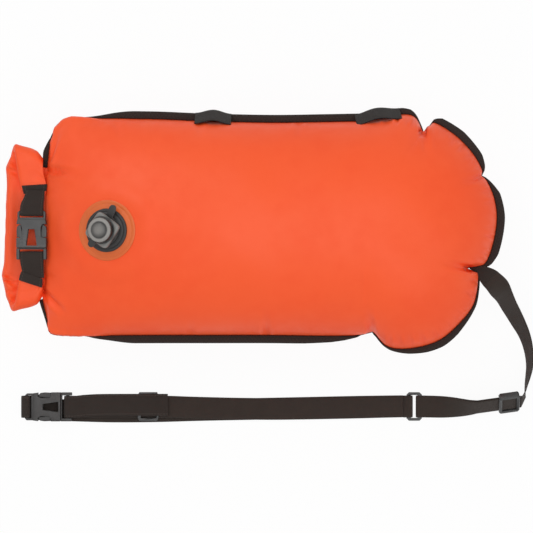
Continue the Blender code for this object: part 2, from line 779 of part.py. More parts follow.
def socket(name, place):
    """Socket half of a side-release buckle: a flat sleeve with side windows and a webbing bar."""
    half = BUCKLE_WIDTH / 2
    slot_end = SOCKET_LENGTH - BAR_WIDTH
    slot_start = slot_end - SOCKET_SLOT
    ear = SLOT_HALF + SOCKET_WALL
    outline = buckle_outline_mirrored([
        (half - EDGE_ROUND, 0), (half, EDGE_ROUND), (half, CAVITY_LENGTH * 0.85),
        (ear, slot_start - EDGE_ROUND), (ear, SOCKET_LENGTH - SOCKET_WALL),
        (ear - SOCKET_WALL, SOCKET_LENGTH),
    ])
    made = plate(name, [outline], BUCKLE_DEPTH, place, "plastic", rounding=EDGE_ROUND)
    inner = half - SOCKET_WALL
    depth = CAVITY_DEPTH / 2
    wide = half + OVERRUN
    end = SOCKET_LENGTH + OVERRUN
    deep = BUCKLE_DEPTH / 2 + OVERRUN
    low, high = (-inner, -OVERRUN, -depth), (inner, CAVITY_LENGTH, depth)
    boolean(made, box_cutter(name + "_cavity", low, high, place))
    low, high = (-wide, WINDOW_START, -depth + GAP / 2), (wide, WINDOW_END, depth - GAP / 2)
    boolean(made, box_cutter(name + "_windows", low, high, place))
    for side in (1, -1):
        word = "_top" if side == 1 else "_bottom"
        heights = sorted((side * EAR_HALF_DEPTH, side * deep))
        low, high = (-wide, slot_start - SOCKET_WALL, heights[0]), (wide, end, heights[1])
        boolean(made, box_cutter(name + word + "_ears", low, high, place))
    profile = [
        (slot_start, -deep), (end, -deep), (end, -BAR_HALF_DEPTH), (slot_end, -BAR_HALF_DEPTH),
        (slot_end, BAR_HALF_DEPTH), (end, BAR_HALF_DEPTH), (end, deep), (slot_start, deep),
    ]
    boolean(made, slot_cutter(name + "_slot", profile, 2 * SLOT_HALF, place, ACROSS_BUCKLE))
    grip = buckle_outline_mirrored([
        (GRIP_WIDTHS[0] / 2, GRIP_WINDOW[0]), (GRIP_WIDTHS[1] / 2, GRIP_WINDOW[1]),
    ])
    boolean(made, plate(name + "_grip", [grip], 2 * deep, place, group="cutters"))
    inside = half - WINDOW_DEPTH
    for side in (1, -1):
        word = "_right" if side == 1 else "_left"
        window = [
            (wide, WINDOW_START), (inside + WINDOW_SLANT, WINDOW_START),
            (inside, WINDOW_START + WINDOW_SLANT), (inside, WINDOW_END - 2 * WINDOW_SLANT),
            (inside + WINDOW_SLANT, WINDOW_END), (wide, WINDOW_END),
        ]
        outline = [(side * x, y) for x, y in window]
        boolean(made, plate(name + word + "_opening", [outline], 2 * deep, place, group="cutters"))
    return made


def plug_frame(name, place):
    """Frame of the plug half: a webbing bar between two ears, a neck and two guide rails."""
    half = BUCKLE_WIDTH / 2
    slot_end = -PLUG_LIP
    slot_start = slot_end - PLUG_SLOT
    foot = slot_start - BAR_WIDTH
    outline = buckle_outline_mirrored([
        (half - EDGE_ROUND, foot - PLUG_EAR), (half, foot - PLUG_EAR + EDGE_ROUND), (half, -GAP),
    ])
    made = plate(name, [outline], 2 * PLUG_HALF_DEPTH, place, "plastic", rounding=EDGE_ROUND)
    deep = PLUG_HALF_DEPTH + OVERRUN
    end = foot - PLUG_EAR - OVERRUN
    around = [(slot_end, -deep), (slot_end, deep), (end, deep), (end, -deep)]
    bar = [
        (slot_start, -BAR_HALF_DEPTH), (slot_start, BAR_HALF_DEPTH),
        (foot, BAR_HALF_DEPTH), (foot, -BAR_HALF_DEPTH),
    ]
    boolean(made, plate(
        name + "_slot", [around, bar], 2 * SLOT_HALF, place @ ACROSS_BUCKLE.to_4x4(), group="cutters"))
    inner = half - SOCKET_WALL - GAP
    neck = [
        (inner, -PLUG_LIP / 2), (inner, PLUG_INSERT), (RAIL_X, PLUG_INSERT),
        (RAIL_X, RAIL_LENGTH - RAIL_WIDTH / 2), (RAIL_X - RAIL_WIDTH / 2, RAIL_LENGTH),
        (RAIL_X - RAIL_WIDTH, RAIL_LENGTH), (RAIL_X - RAIL_WIDTH, PLUG_INSERT),
    ]
    insert = plate(
        name + "_rails", [buckle_outline_mirrored(neck)], ARM_DEPTH, place, group="cutters")
    boolean(made, insert, "UNION")
    return made


def arm(name, side, place):
    """One springy arm of the plug, whose pad fills the socket's side window."""
    half = BUCKLE_WIDTH / 2
    inner = half - SOCKET_WALL
    catch = WINDOW_START + LATCH_CLEARANCE
    thick = BAR_WIDTH * 0.75
    points = [
        (ARM_PIVOT_X - thick / 2, ARM_ROOT_Y), (ARM_PIVOT_X + thick / 2, ARM_ROOT_Y),
        (inner - thick / 2, catch * 0.7), (inner - 2 * GAP, catch),
        (half - GAP, catch), (half, (WINDOW_START + WINDOW_END) / 2),
        (half - 2 * GAP, WINDOW_END - 2 * thick / 2), (inner - thick / 3, ARM_LENGTH),
        (inner - thick, ARM_LENGTH), (inner - 1.4 * thick, (catch + ARM_LENGTH) / 2),
        (ARM_PIVOT_X - thick / 3, catch * 0.7),
    ]
    outline = [(side * x, y) for x, y in points]
    return plate(name, [outline], ARM_DEPTH, place, "plastic", rounding=EDGE_ROUND / 2)


def bar_loop(bar_y, towards, tail):
    """The path of webbing round a buckle's bar: upper tail, turn round the bar, lower tail."""
    radius = BAR_HALF_DEPTH + GAP + WEBBING_WALL / 2
    upper, lower = tail
    turn = arc((bar_y - towards * BAR_TURN_SHIFT, 0), radius, 90, 90 + 180 * towards, BAR_TURN_STEPS)
    return [Vector(point) for point in upper] + turn + [Vector(point) for point in lower]


def roll_buckle():
    """The buckle that clips the folded ends of the roll together, with its tabs and loops."""
    tab_z = flap_top() + GAP + TAB_WALL / 2
    tab_top = tab_z + TAB_WALL / 2
    middle = tab_top + GAP + BUCKLE_DEPTH / 2
    place = Matrix.Translation((ROLL_BUCKLE_X, ROLL_BUCKLE_MOUTH_Y, middle))
    socket("roll_buckle_socket", place)
    plug_frame("roll_buckle_plug", place)
    for side, word in ((1, "right"), (-1, "left")):
        arm("roll_buckle_" + word + "_arm", side, place)
    for side, word in ((1, "upper"), (-1, "lower")):
        near = ROLL_CENTRE_Y + side * (flap_end(side) - TAB_LENGTH * 0.6)
        far = near + side * TAB_LENGTH
        middles = [Vector((ROLL_BUCKLE_X, y, tab_z)) for y in (near, (near + far) / 2, far)]
        stations = [(point, Vector((1, 0, 0))) for point in middles]
        strap("roll_" + word + "_tab", stations, width=TAB_WIDTH, wall=TAB_WALL)
    low = tab_top + GAP + WEBBING_WALL / 2 - middle
    high = low + GAP + WEBBING_WALL
    turn = BAR_HALF_DEPTH + GAP + WEBBING_WALL / 2
    socket_bar = SOCKET_LENGTH - BAR_WIDTH / 2
    end = ROLL_CENTRE_Y + flap_end(1) + TAB_LENGTH * 0.1 - ROLL_BUCKLE_MOUTH_Y
    easing = (end - socket_bar) / 3
    near = socket_bar + BAR_WIDTH
    path = bar_loop(socket_bar, 1, (
        [(end, high), (end - easing, high), (socket_bar + easing, turn * 0.55), (near, turn)],
        [(near, -turn), (socket_bar + easing, low), (end - easing, low), (end, low)],
    ))
    flat_strap("roll_socket_loop", path, place)
    plug_bar = -PLUG_LIP - PLUG_SLOT - BAR_WIDTH / 2
    end = ROLL_CENTRE_Y - flap_end(-1) - TAB_LENGTH * 0.1 - ROLL_BUCKLE_MOUTH_Y
    easing = (end - plug_bar) / 3
    near = plug_bar - BAR_WIDTH
    path = bar_loop(plug_bar, -1, (
        [(end, high), (end - easing, high), (plug_bar + easing, turn * 0.55), (near, turn)],
        [(near, -turn), (plug_bar + easing, low), (end - easing, low), (end, low)],
    ))
    flat_strap("roll_plug_loop", path, place)
    return middle


def slider(name, place):
    """A three-bar slider: the strap's layers pass over its centre bar and under its outer bars."""
    passage = 2 * WEBBING_WALL + 3 * GAP if name == "leash_slider" else WEBBING_WALL + 2 * GAP
    height = 2 * SLIDER_BAR_WALL + passage
    half_length, half_width = SLIDER_LENGTH / 2, SLIDER_WIDTH / 2
    corner = SLIDER_BAR
    outline = [
        (half_length, half_width - corner), (half_length - corner / 2, half_width),
        (-half_length + corner / 2, half_width), (-half_length, half_width - corner),
        (-half_length, -half_width + corner), (-half_length + corner / 2, -half_width),
        (half_length - corner / 2, -half_width), (half_length, -half_width + corner),
    ]
    near, far = SLIDER_CENTRE_BAR / 2, half_length - SLIDER_BAR
    lift = Matrix.Translation((0, 0, height / 2))
    made = plate(name, [outline], height, place @ lift, "plastic", rounding=EDGE_ROUND)
    out, low, high, roof = half_length + OVERRUN, -OVERRUN, height + OVERRUN, height - SLIDER_BAR_WALL
    profile = [
        (-out, low), (-near, low), (-near, SLIDER_BAR_WALL), (near, SLIDER_BAR_WALL), (near, low),
        (out, low), (out, roof), (far, roof), (far, high), (-far, high), (-far, roof), (-out, roof),
    ]
    boolean(made, slot_cutter(name + "_passage", profile, 2 * SLOT_HALF, place, ACROSS_SLIDER))
    return made


def belt():
    """The waist belt: its buckle, slider, ring and the lengths of its one strap."""
    floor_layer = GAP + WEBBING_WALL / 2
    tail_layer = floor_layer + WEBBING_WALL + GAP
    buckle_z = tail_layer + WEBBING_WALL / 2 + GAP + BUCKLE_DEPTH / 2
    mouth = Matrix.Translation((BELT_BUCKLE_MOUTH_X, BELT_Y, buckle_z))
    place = mouth @ Matrix.Rotation(math.radians(90), 4, "Z")
    socket("belt_buckle_socket", place)
    plug_frame("belt_buckle_plug", place)
    for side, word in ((1, "upper"), (-1, "lower")):
        arm("belt_buckle_" + word + "_arm", side, place)

    slider_z = floor_layer + WEBBING_WALL / 2 + GAP
    front_layer = slider_z + SLIDER_BAR_WALL + GAP + WEBBING_WALL / 2
    over_slider = slider_z + 2 * SLIDER_BAR_WALL + WEBBING_WALL + 2 * GAP
    tail_z = over_slider + GAP + WEBBING_WALL / 2
    slider("belt_slider", Matrix.Translation((BELT_SLIDER_X, BELT_Y, slider_z)))

    turn = BAR_HALF_DEPTH + GAP + WEBBING_WALL / 2
    plug_bar = -PLUG_LIP - PLUG_SLOT - BAR_WIDTH / 2
    middles = [Vector((x, BELT_Y + BELT_TAIL_SHIFT * share, tail_z)) for x, share in BELT_TAIL_ROUTE]
    around = bar_loop(plug_bar, -1, (
        [(plug_bar - 2 * BAR_WIDTH, turn)], [(plug_bar - BAR_WIDTH, -turn)]))
    middles += [place @ Vector((0, point.x, point.y)) for point in around]
    middles.append(Vector((BELT_FRONT_ROUTE[-1][0] - GAP, BELT_Y, front_layer)))
    strap("belt_plug_loop", [(point, Vector((0, 1, 0))) for point in middles])

    keys = [Vector((x, y, z)) for x, y, z in BELT_FRONT_ROUTE]
    route = spline_points(keys, ROUTE_STEPS)
    strap("belt_front_run", [(point, Vector((0, 1, 0))) for point in route])
    keys = [Vector((x, y, floor_layer)) for x, y in BELT_BACK_ROUTE]
    route = spline_points(keys, ROUTE_STEPS)
    strap("belt_back_run", [(point, Vector((0, 1, 0))) for point in route])

    socket_bar = SOCKET_LENGTH - BAR_WIDTH / 2
    outer = (buckle_z + turn - tail_layer) / 2
    outer_middle = tail_layer + outer - buckle_z
    path = [(BELT_LOOP_END, tail_layer - buckle_z), (socket_bar / 2, tail_layer - buckle_z)]
    path += arc((socket_bar + BAR_WIDTH / 2, outer_middle), outer, -90, 90)
    path += arc((socket_bar - BAR_TURN_SHIFT, 0), turn, 90, 270, BAR_TURN_STEPS)
    path += [(socket_bar + BAR_WIDTH / 2, -turn)]
    flat_strap("belt_socket_loop", [Vector(point) for point in path], place)

    ring_z = floor_layer + WEBBING_WALL / 2 + GAP + RING_WALL / 2
    ring_place = Matrix.Translation((RING_X, BELT_Y, ring_z))
    half_length, half_width = RING_LENGTH / 2, RING_WIDTH / 2
    corner = RING_LENGTH * RING_CORNER_SHARE
    outline = [
        (half_length, half_width - corner), (half_length - corner, half_width),
        (-half_length + corner, half_width), (-half_length, half_width - corner),
        (-half_length, -half_width + corner), (-half_length + corner, -half_width),
        (half_length - corner, -half_width), (half_length, -half_width + corner),
    ]
    hole = half_length - RING_BAR
    hole_outline = [(hole, -SLOT_HALF), (hole, SLOT_HALF), (-hole, SLOT_HALF), (-hole, -SLOT_HALF)]
    plate("leash_ring", [outline, hole_outline], RING_WALL, ring_place, "plastic", rounding=EDGE_ROUND)

    radius = RING_WALL / 2 + GAP + WEBBING_WALL / 2
    loop_end = BELT_FRONT_ROUTE[0][0] + GAP - RING_X
    path = [Vector((loop_end, radius))]
    path += arc((-hole - radius * 0.3, 0), radius, 90, -90)
    path += [Vector((loop_end, -radius))]
    stations = [(ring_place @ Vector((u, 0, v)), Vector((0, 1, 0))) for u, v in path]
    strap("belt_ring_loop", stations)
    return ring_place, radius, hole


def leash_across(direction, roll):
    """Width direction of the leash: to the left of its plan direction, rolled about its length."""
    left = Vector((-direction.y, direction.x, 0)).normalized()
    return left * math.cos(math.radians(roll)) + Vector((0, 0, math.sin(math.radians(roll))))


def rolled_stations(keys, rolls):
    """Stations of the leash from keys of x, y, z and as many rolls in degrees."""
    keys = [Vector((*key, roll)) for key, roll in zip(keys, rolls)]
    route = spline_points(keys, ROUTE_STEPS)
    stations = []
    for i, point in enumerate(route):
        ahead = route[min(i + 1, len(route) - 1)] - route[max(i - 1, 0)]
        stations.append((point.xyz, leash_across(ahead, point.w)))
    return stations


def leash(ring_place, ring_turn, ring_hole):
    """The leash: its gathered root in the notch, its free run, and its doubled end at the ring."""
    notch = Vector((*body_point(LOBE_SHARES[3][0]), SEAM_Z + LEASH_ROOT_LIFT))
    stations = []
    for i, (x, y, width) in enumerate(LEASH_ROOT_ROUTE):
        before = LEASH_ROOT_ROUTE[max(i - 1, 0)]
        after = LEASH_ROOT_ROUTE[min(i + 1, len(LEASH_ROOT_ROUTE) - 1)]
        direction = Vector((after[0] - before[0], after[1] - before[1], 0))
        stations.append((notch + Vector((x, y, 0)), leash_across(direction, 0), width))
    strap("leash_root", stations)

    start, bend = Vector(LEASH_DOUBLED_START), Vector(LEASH_DOUBLED_ROUTE[0])
    along = (bend - start).normalized()
    across = leash_across(along, DOUBLED_ROLL_DEGREES[0])
    across = (across - along * across.dot(along)).normalized()
    normal = across.cross(along)
    split = start + along * LEASH_TAIL_START / 2
    run = rolled_stations(LEASH_ROUTE, LEASH_ROLL_DEGREES)
    strap("leash_run", run + [(start, across), (split, across)])

    base = [(split + along * GAP, across), (start + along * LEASH_TAIL_START, across)]
    base += [(start.lerp(bend, k / DOUBLED_STEPS), across) for k in range(1, DOUBLED_STEPS)]
    base += rolled_stations(LEASH_DOUBLED_ROUTE, DOUBLED_ROLL_DEGREES)
    spacing = WEBBING_WALL + GAP
    bottom = []
    for i, (point, wide) in enumerate(base):
        before = base[max(i - 1, 0)][0]
        after = base[min(i + 1, len(base) - 1)][0]
        down = (after - before).cross(wide).normalized()
        left = (point - base[-1][0]).length
        away = 2 * ring_turn + (spacing - 2 * ring_turn) * smoothstep(0, LEASH_SLIDER_AT, left)
        bottom.append((point + down * away, wide))
    turn = [
        (ring_place @ Vector((u, 0, v)), Vector((0, 1, 0)))
        for u, v in arc((ring_hole + ring_turn / 3, 0), ring_turn, 90, 270)
    ]
    strap("leash_doubled_end", base + turn + bottom[:0:-1], back_from=len(base))

    frame = Matrix((-along, across, normal)).transposed().to_4x4()
    centre = start + along * LEASH_SLIDER_AT
    drop = SLIDER_BAR_WALL + GAP + spacing + WEBBING_WALL / 2
    slider("leash_slider", Matrix.Translation(centre) @ frame @ Matrix.Translation((0, 0, -drop)))
    return centre, along


def lobed_collar(place, low, high):
    """Outline of the valve body's collar, a square with round corners, cut clear of the neck."""
    steps = TURN_STEPS * 2
    outline = []
    for k in range(steps):
        angle = 2 * math.pi * k / steps
        lean = angle - COLLAR_TURN - math.pi / 4
        sides = abs(math.cos(lean)) ** COLLAR_SQUARENESS + abs(math.sin(lean)) ** COLLAR_SQUARENESS
        radius = COLLAR_FLAT / sides ** (1 / COLLAR_SQUARENESS)
        outline.append((radius * math.cos(angle), radius * math.sin(angle)))
    lift = Matrix.Translation((0, 0, (low + high) / 2))
    return plate(
        "valve_body_lobes", [outline], high - low, place @ lift, group="cutters", rounding=EDGE_ROUND)


def ring_with_tab(name, inner, outer, low, wall, reach, angle, colour, place):
    """A flat captive ring with a finger tab or tether that reaches out of it."""
    steps = TURN_STEPS
    half = TETHER_WIDTH / 2
    gap = math.asin(half / outer)
    outline = []
    for k in range(steps + 1):
        turn = gap + (2 * math.pi - 2 * gap) * k / steps
        outline.append((outer * math.cos(turn), outer * math.sin(turn)))
    tip = reach - half
    outline += [(tip + half * math.cos(t), half * math.sin(t)) for t in (
        -math.pi / 2, -math.pi / 4, 0, math.pi / 4, math.pi / 2)]
    turns = [2 * math.pi * k / steps for k in range(steps)]
    hole = [(inner * math.cos(turn), inner * math.sin(turn)) for turn in turns]
    lift = Matrix.Translation((0, 0, low + wall / 2)) @ Matrix.Rotation(angle, 4, "Z")
    return plate(name, [outline, hole], wall, place @ lift, colour)


def valve():
    """The two-part screw valve with its cap, welded to the front panel on a round patch."""
    place, _ = valve_frame()
    patch_low = GAP
    patch_high = patch_low + PATCH_WALL
    base_low = patch_high + GAP
    base_high = base_low + BASE_WALL
    hole = BASE_SLEEVE_RADIUS + GAP
    turned("valve_patch", [
        (PATCH_RADIUS, patch_high), (PATCH_RADIUS, patch_low), (hole, patch_low), (hole, patch_high),
    ], place, "patch")
    turned("valve_base", [
        (BASE_NECK_RADIUS, BASE_NECK_TOP), (BASE_NECK_RADIUS, base_high + BASE_WALL / 3),
        (BASE_NECK_RADIUS + BASE_WALL / 3, base_high), (BASE_RADIUS - BASE_WALL / 3, base_high),
        (BASE_RADIUS, base_high - BASE_WALL / 2), (BASE_RADIUS, base_low),
        (BASE_SLEEVE_RADIUS, base_low), (BASE_SLEEVE_RADIUS, -BASE_SLEEVE_DEPTH),
        (BASE_BORE, -BASE_SLEEVE_DEPTH), (BASE_BORE, BASE_NECK_TOP),
    ], place, "rubber")

    seal_low = BASE_NECK_TOP + GAP
    seal_high = seal_low + SEAL_SECTION
    turned("valve_seal", [
        (BASE_NECK_RADIUS, seal_high), (BASE_NECK_RADIUS, seal_low),
        (BASE_BORE + GAP, seal_low), (BASE_BORE + GAP, seal_high),
    ], place, "rubber")
    strap_low = seal_low
    ring_with_tab(
        "valve_tether", BASE_NECK_RADIUS + GAP, BASE_NECK_RADIUS + 4 * GAP + BODY_WEB, strap_low,
        STRAP_RING_WALL, TETHER_REACH, math.radians(66), "rubber", place)
    collar_low = seal_high + GAP
    collar_high = collar_low + COLLAR_WALL
    neck_high = collar_high + BODY_NECK_HEIGHT
    profile = [
        (0, BODY_WEB), (BODY_BORE, BODY_WEB), (BODY_BORE, neck_high), (BODY_NECK_RADIUS, neck_high),
        (BODY_NECK_RADIUS, collar_high - EDGE_ROUND), (BASE_NECK_RADIUS, collar_high - EDGE_ROUND),
        (BASE_NECK_RADIUS, collar_low + EDGE_ROUND), (BODY_SKIRT_RADIUS, collar_low + EDGE_ROUND),
        (BODY_SKIRT_RADIUS, 0), (0, 0),
    ]
    body = turned("valve_body", profile, place, "grey")
    lobes = lobed_collar(place, collar_low, collar_high)
    boolean(lobes, round_cutter(
        "valve_body_middle", BODY_SKIRT_RADIUS - EDGE_ROUND, collar_low - OVERRUN, collar_high + OVERRUN,
        place))
    boolean(body, lobes, "UNION")
    for k in range(4):
        turn = Matrix.Rotation(math.radians(90 * k + 45), 4, "Z")
        turn = turn @ Matrix.Translation((AIR_HOLE_CIRCLE, 0, 0))
        hole = round_cutter(
            "valve_body_air_hole_%d" % k, AIR_HOLE_RADIUS, -OVERRUN, BODY_WEB + OVERRUN, place @ turn, 10)
        boolean(body, hole)
    boolean(body, round_cutter(
        "valve_body_stem_hole", FLAP_STEM_RADIUS + GAP, -OVERRUN, BODY_WEB + OVERRUN, place, 12))
    flap_high = -GAP
    turned("one_way_flap", [
        (0, BODY_WEB + 3 * GAP + FLAP_WALL), (FLAP_STEM_RADIUS * 1.8, BODY_WEB + 3 * GAP),
        (FLAP_STEM_RADIUS * 1.8, BODY_WEB + GAP), (FLAP_STEM_RADIUS, BODY_WEB + GAP),
        (FLAP_STEM_RADIUS, flap_high), (FLAP_RADIUS, flap_high), (FLAP_RADIUS, flap_high - FLAP_WALL),
        (0, flap_high - FLAP_WALL),
    ], place, "rubber", 16)

    keeper_low = collar_high + GAP
    ring_with_tab(
        "cap_tether", BODY_NECK_RADIUS + GAP, CAP_RADIUS - CAP_WALL, keeper_low,
        STRAP_RING_WALL, CAP_TAB_REACH, math.radians(232), "rubber", place)
    cap_low = keeper_low + STRAP_RING_WALL + GAP
    cap_high = cap_low + CAP_HEIGHT
    inside = BODY_NECK_RADIUS + GAP
    ceiling = neck_high + GAP
    turned("valve_cap", [
        (0, cap_high + PLUG_DOME_HEIGHT), (PLUG_DOME_RADIUS * 0.55, cap_high + PLUG_DOME_HEIGHT * 0.86),
        (PLUG_DOME_RADIUS, cap_high), (CAP_RADIUS - EDGE_ROUND, cap_high),
        (CAP_RADIUS, cap_high - EDGE_ROUND), (CAP_RADIUS, cap_low), (inside, cap_low),
        (inside, ceiling), (0, ceiling),
    ], place, "grey")
    return place, cap_low


def valve_opening(front):
    """The hole in the front panel that the valve's sleeve goes through."""
    place, _ = valve_frame()
    boolean(front, round_cutter(
        "valve_opening", BASE_SLEEVE_RADIUS + GAP, -BASE_SLEEVE_DEPTH, BASE_SLEEVE_DEPTH, place))


def main():
    """Build every sub-part."""
    for old in list(bpy.data.objects):
        bpy.data.objects.remove(old, do_unlink=True)
    GROUPS["parts"] = collection("swim_buoy")
    GROUPS["cutters"] = collection("cutters")
    front = panel("front_panel", front_height, True)
    valve_opening(front)
    panel("back_panel", back_height, False)
    seam_binding()
    rolled_mouth()
    grab_loops()
    roll_buckle()
    valve()
    ring_place, ring_turn, ring_hole = belt()
    leash(ring_place, ring_turn, ring_hole)


GROUPS = {}
main()
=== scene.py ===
"""Looks of an open water swim buoy: the blown-up bag, its rolled mouth, screw valve, leash and belt.

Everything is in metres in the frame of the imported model. The bag lies on its back at z = 0 with its
rolled mouth towards -X and its valve up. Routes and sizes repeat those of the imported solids.
"""

from __future__ import annotations

import logging
import math
from dataclasses import dataclass, field
from enum import Enum

import bpy
import numpy as np
from mathutils import Matrix, Vector, noise

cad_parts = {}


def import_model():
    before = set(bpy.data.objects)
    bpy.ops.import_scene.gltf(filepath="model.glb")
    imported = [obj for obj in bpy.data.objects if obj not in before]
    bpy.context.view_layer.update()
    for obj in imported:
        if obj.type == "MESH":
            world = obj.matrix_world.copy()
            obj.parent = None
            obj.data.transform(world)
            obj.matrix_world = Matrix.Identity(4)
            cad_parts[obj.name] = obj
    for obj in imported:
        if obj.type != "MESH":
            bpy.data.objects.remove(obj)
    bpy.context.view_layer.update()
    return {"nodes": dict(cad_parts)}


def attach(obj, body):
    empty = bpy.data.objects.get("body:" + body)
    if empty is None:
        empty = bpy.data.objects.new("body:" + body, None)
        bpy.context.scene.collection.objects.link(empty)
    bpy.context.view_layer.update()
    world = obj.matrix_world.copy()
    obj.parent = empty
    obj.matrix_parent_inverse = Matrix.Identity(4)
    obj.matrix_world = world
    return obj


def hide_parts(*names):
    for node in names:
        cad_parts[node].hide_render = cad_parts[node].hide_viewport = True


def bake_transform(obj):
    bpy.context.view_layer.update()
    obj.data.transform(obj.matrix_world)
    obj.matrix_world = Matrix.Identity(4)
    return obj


LOG = logging.getLogger("swim_buoy")
ROOT_BODY = "buoy"
GAP = 0.0003
WEBBING_WIDTH = 0.025
WEBBING_WALL = 0.0014
UP = Vector((0, 0, 1))
ACROSS_Y = Vector((0, 1, 0))
ACROSS_X = Vector((1, 0, 0))

Points = list[Vector]
Colour = tuple[float, float, float]


class Lay(Enum):
    """Which way the webbing's ribs show."""

    FINE = 0.00125
    COARSE = 0.0019


# ---- small geometry helpers -------------------------------------------------


def smoothstep(low: float, high: float, value: float) -> float:
    """Ease from 0 below low to 1 above high."""
    share = min(max((value - low) / (high - low), 0.0), 1.0)
    return share * share * (3 - 2 * share)


def curve_through(keys: list[tuple[float, ...]], steps: int) -> np.ndarray:
    """Points of a smooth curve through keys.

    Args:
        keys: Points of any dimension.
        steps: Points made for each interval.

    Returns:
        An array with one row for each point.
    """
    key = np.array([tuple(k) for k in keys], float)
    last = len(key) - 1
    rows = []
    for i in range(last):
        a, b, c, d = (key[min(max(j, 0), last)] for j in (i - 1, i, i + 1, i + 2))
        for t in np.arange(steps) / steps:
            rows.append((2 * b + (c - a) * t + (2 * a - 5 * b + 4 * c - d) * t**2 + (3 * b - a - 3 * c + d) * t**3) / 2)
    rows.append(key[last])
    return np.array(rows)


def evenly(keys: list[tuple[float, ...]], count: int, steps: int = 13) -> np.ndarray:
    """As many even steps as count along the smooth curve through keys."""
    fine = curve_through(keys, steps)
    run = np.concatenate([[0], np.cumsum(np.linalg.norm(np.diff(fine, axis=0), axis=1))])
    wanted = np.linspace(0, run[-1], count + 1)
    return np.stack([np.interp(wanted, run, fine[:, k]) for k in range(fine.shape[1])], axis=1)


def arc(centre: tuple[float, float], radius: float, start: float, end: float, steps: int) -> list[tuple[float, float]]:
    """Points of an arc in a flat frame, with its angles in degrees."""
    turn = np.radians(np.linspace(start, end, steps + 1))
    return [(centre[0] + radius * math.cos(t), centre[1] + radius * math.sin(t)) for t in turn]


def link(name: str, mesh: bpy.types.Mesh) -> bpy.types.Object:
    """A new object of the mesh in the scene."""
    made = bpy.data.objects.new(name, mesh)
    bpy.context.scene.collection.objects.link(made)
    return made


def grid_object(name: str, rings: np.ndarray, along: np.ndarray, across: np.ndarray, capped: bool = True) -> bpy.types.Object:
    """A smooth tube through closed rings, with metres along and across as its UVs.

    Args:
        name: The object's name.
        rings: Array of shape (rings, points in a ring, 3).
        along: Metres along for each ring.
        across: Metres across for each point of a ring, and one more for the closing edge.
        capped: Whether flat faces close both ends.

    Returns:
        The new object.
    """
    count, size, _ = rings.shape
    faces, uvs = [], []
    for row in range(count - 1):
        for i in range(size):
            j = (i + 1) % size
            faces.append((row * size + i, row * size + j, (row + 1) * size + j, (row + 1) * size + i))
            uvs += [(across[i], along[row]), (across[i + 1], along[row]), (across[i + 1], along[row + 1]), (across[i], along[row + 1])]
    if capped:
        for row, order in ((0, range(size - 1, -1, -1)), (count - 1, range(size))):
            faces.append(tuple(row * size + i for i in order))
            uvs += [(across[i], along[row]) for i in order]
    mesh = bpy.data.meshes.new(name)
    mesh.from_pydata(rings.reshape(-1, 3).tolist(), [], faces)
    layer = mesh.uv_layers.new(name="metres")
    layer.data.foreach_set("uv", np.array(uvs, np.float32).ravel())
    made = link(name, mesh)
    point_outwards(made)
    mesh.shade_smooth()
    return made


def point_outwards(made: bpy.types.Object) -> None:
    """Turn the faces of a closed mesh outwards."""
    mesh = made.data
    co = np.array([v.co for v in mesh.vertices])
    mesh.calc_loop_triangles()
    tri = np.array([t.vertices for t in mesh.loop_triangles])
    a, b, c = co[tri[:, 0]], co[tri[:, 1]], co[tri[:, 2]]
    if np.einsum("ij,ij->i", a, np.cross(b, c)).sum() < 0:
        mesh.flip_normals()


# ---- node groups and finishes -----------------------------------------------


class Graph:
    """A node tree that is written line by line."""

    def __init__(self, tree: bpy.types.NodeTree) -> None:
        """Keep the tree."""
        self.tree = tree

    def add(self, kind: str, inputs: dict | None = None, **values: object) -> bpy.types.Node:
        """Add a node, set its properties and fill its inputs.

        Args:
            kind: Blender's node type without its ShaderNode prefix, or a full type name.
            inputs: Socket name or number to a value or an output socket.
            **values: Properties of the node.

        Returns:
            The new node.
        """
        made = self.tree.nodes.new(kind if kind.startswith("Node") else "ShaderNode" + kind)
        for name, value in values.items():
            setattr(made, name, value)
        for name, value in (inputs or {}).items():
            socket = made.inputs[name]
            if isinstance(value, bpy.types.NodeSocket):
                self.tree.links.new(value, socket)
            else:
                socket.default_value = value
        return made

    def math(self, operation: str, *values: object) -> bpy.types.NodeSocket:
        """The output of a Math node."""
        return self.add("Math", dict(enumerate(values)), operation=operation).outputs[0]

    def mix(self, share: object, one: object, two: object, blend: str = "MIX") -> bpy.types.NodeSocket:
        """The colour between two colours, or their product."""
        made = self.add("Mix", {0: share, 6: one, 7: two}, data_type="RGBA", blend_type=blend)
        return made.outputs[2]

    def ramp(self, value: object, low: float, high: float) -> bpy.types.NodeSocket:
        """0 below low to 1 above high, smoothly."""
        made = self.add("MapRange", {"Value": value, "From Min": low, "From Max": high}, interpolation_type="SMOOTHSTEP")
        return made.outputs[0]


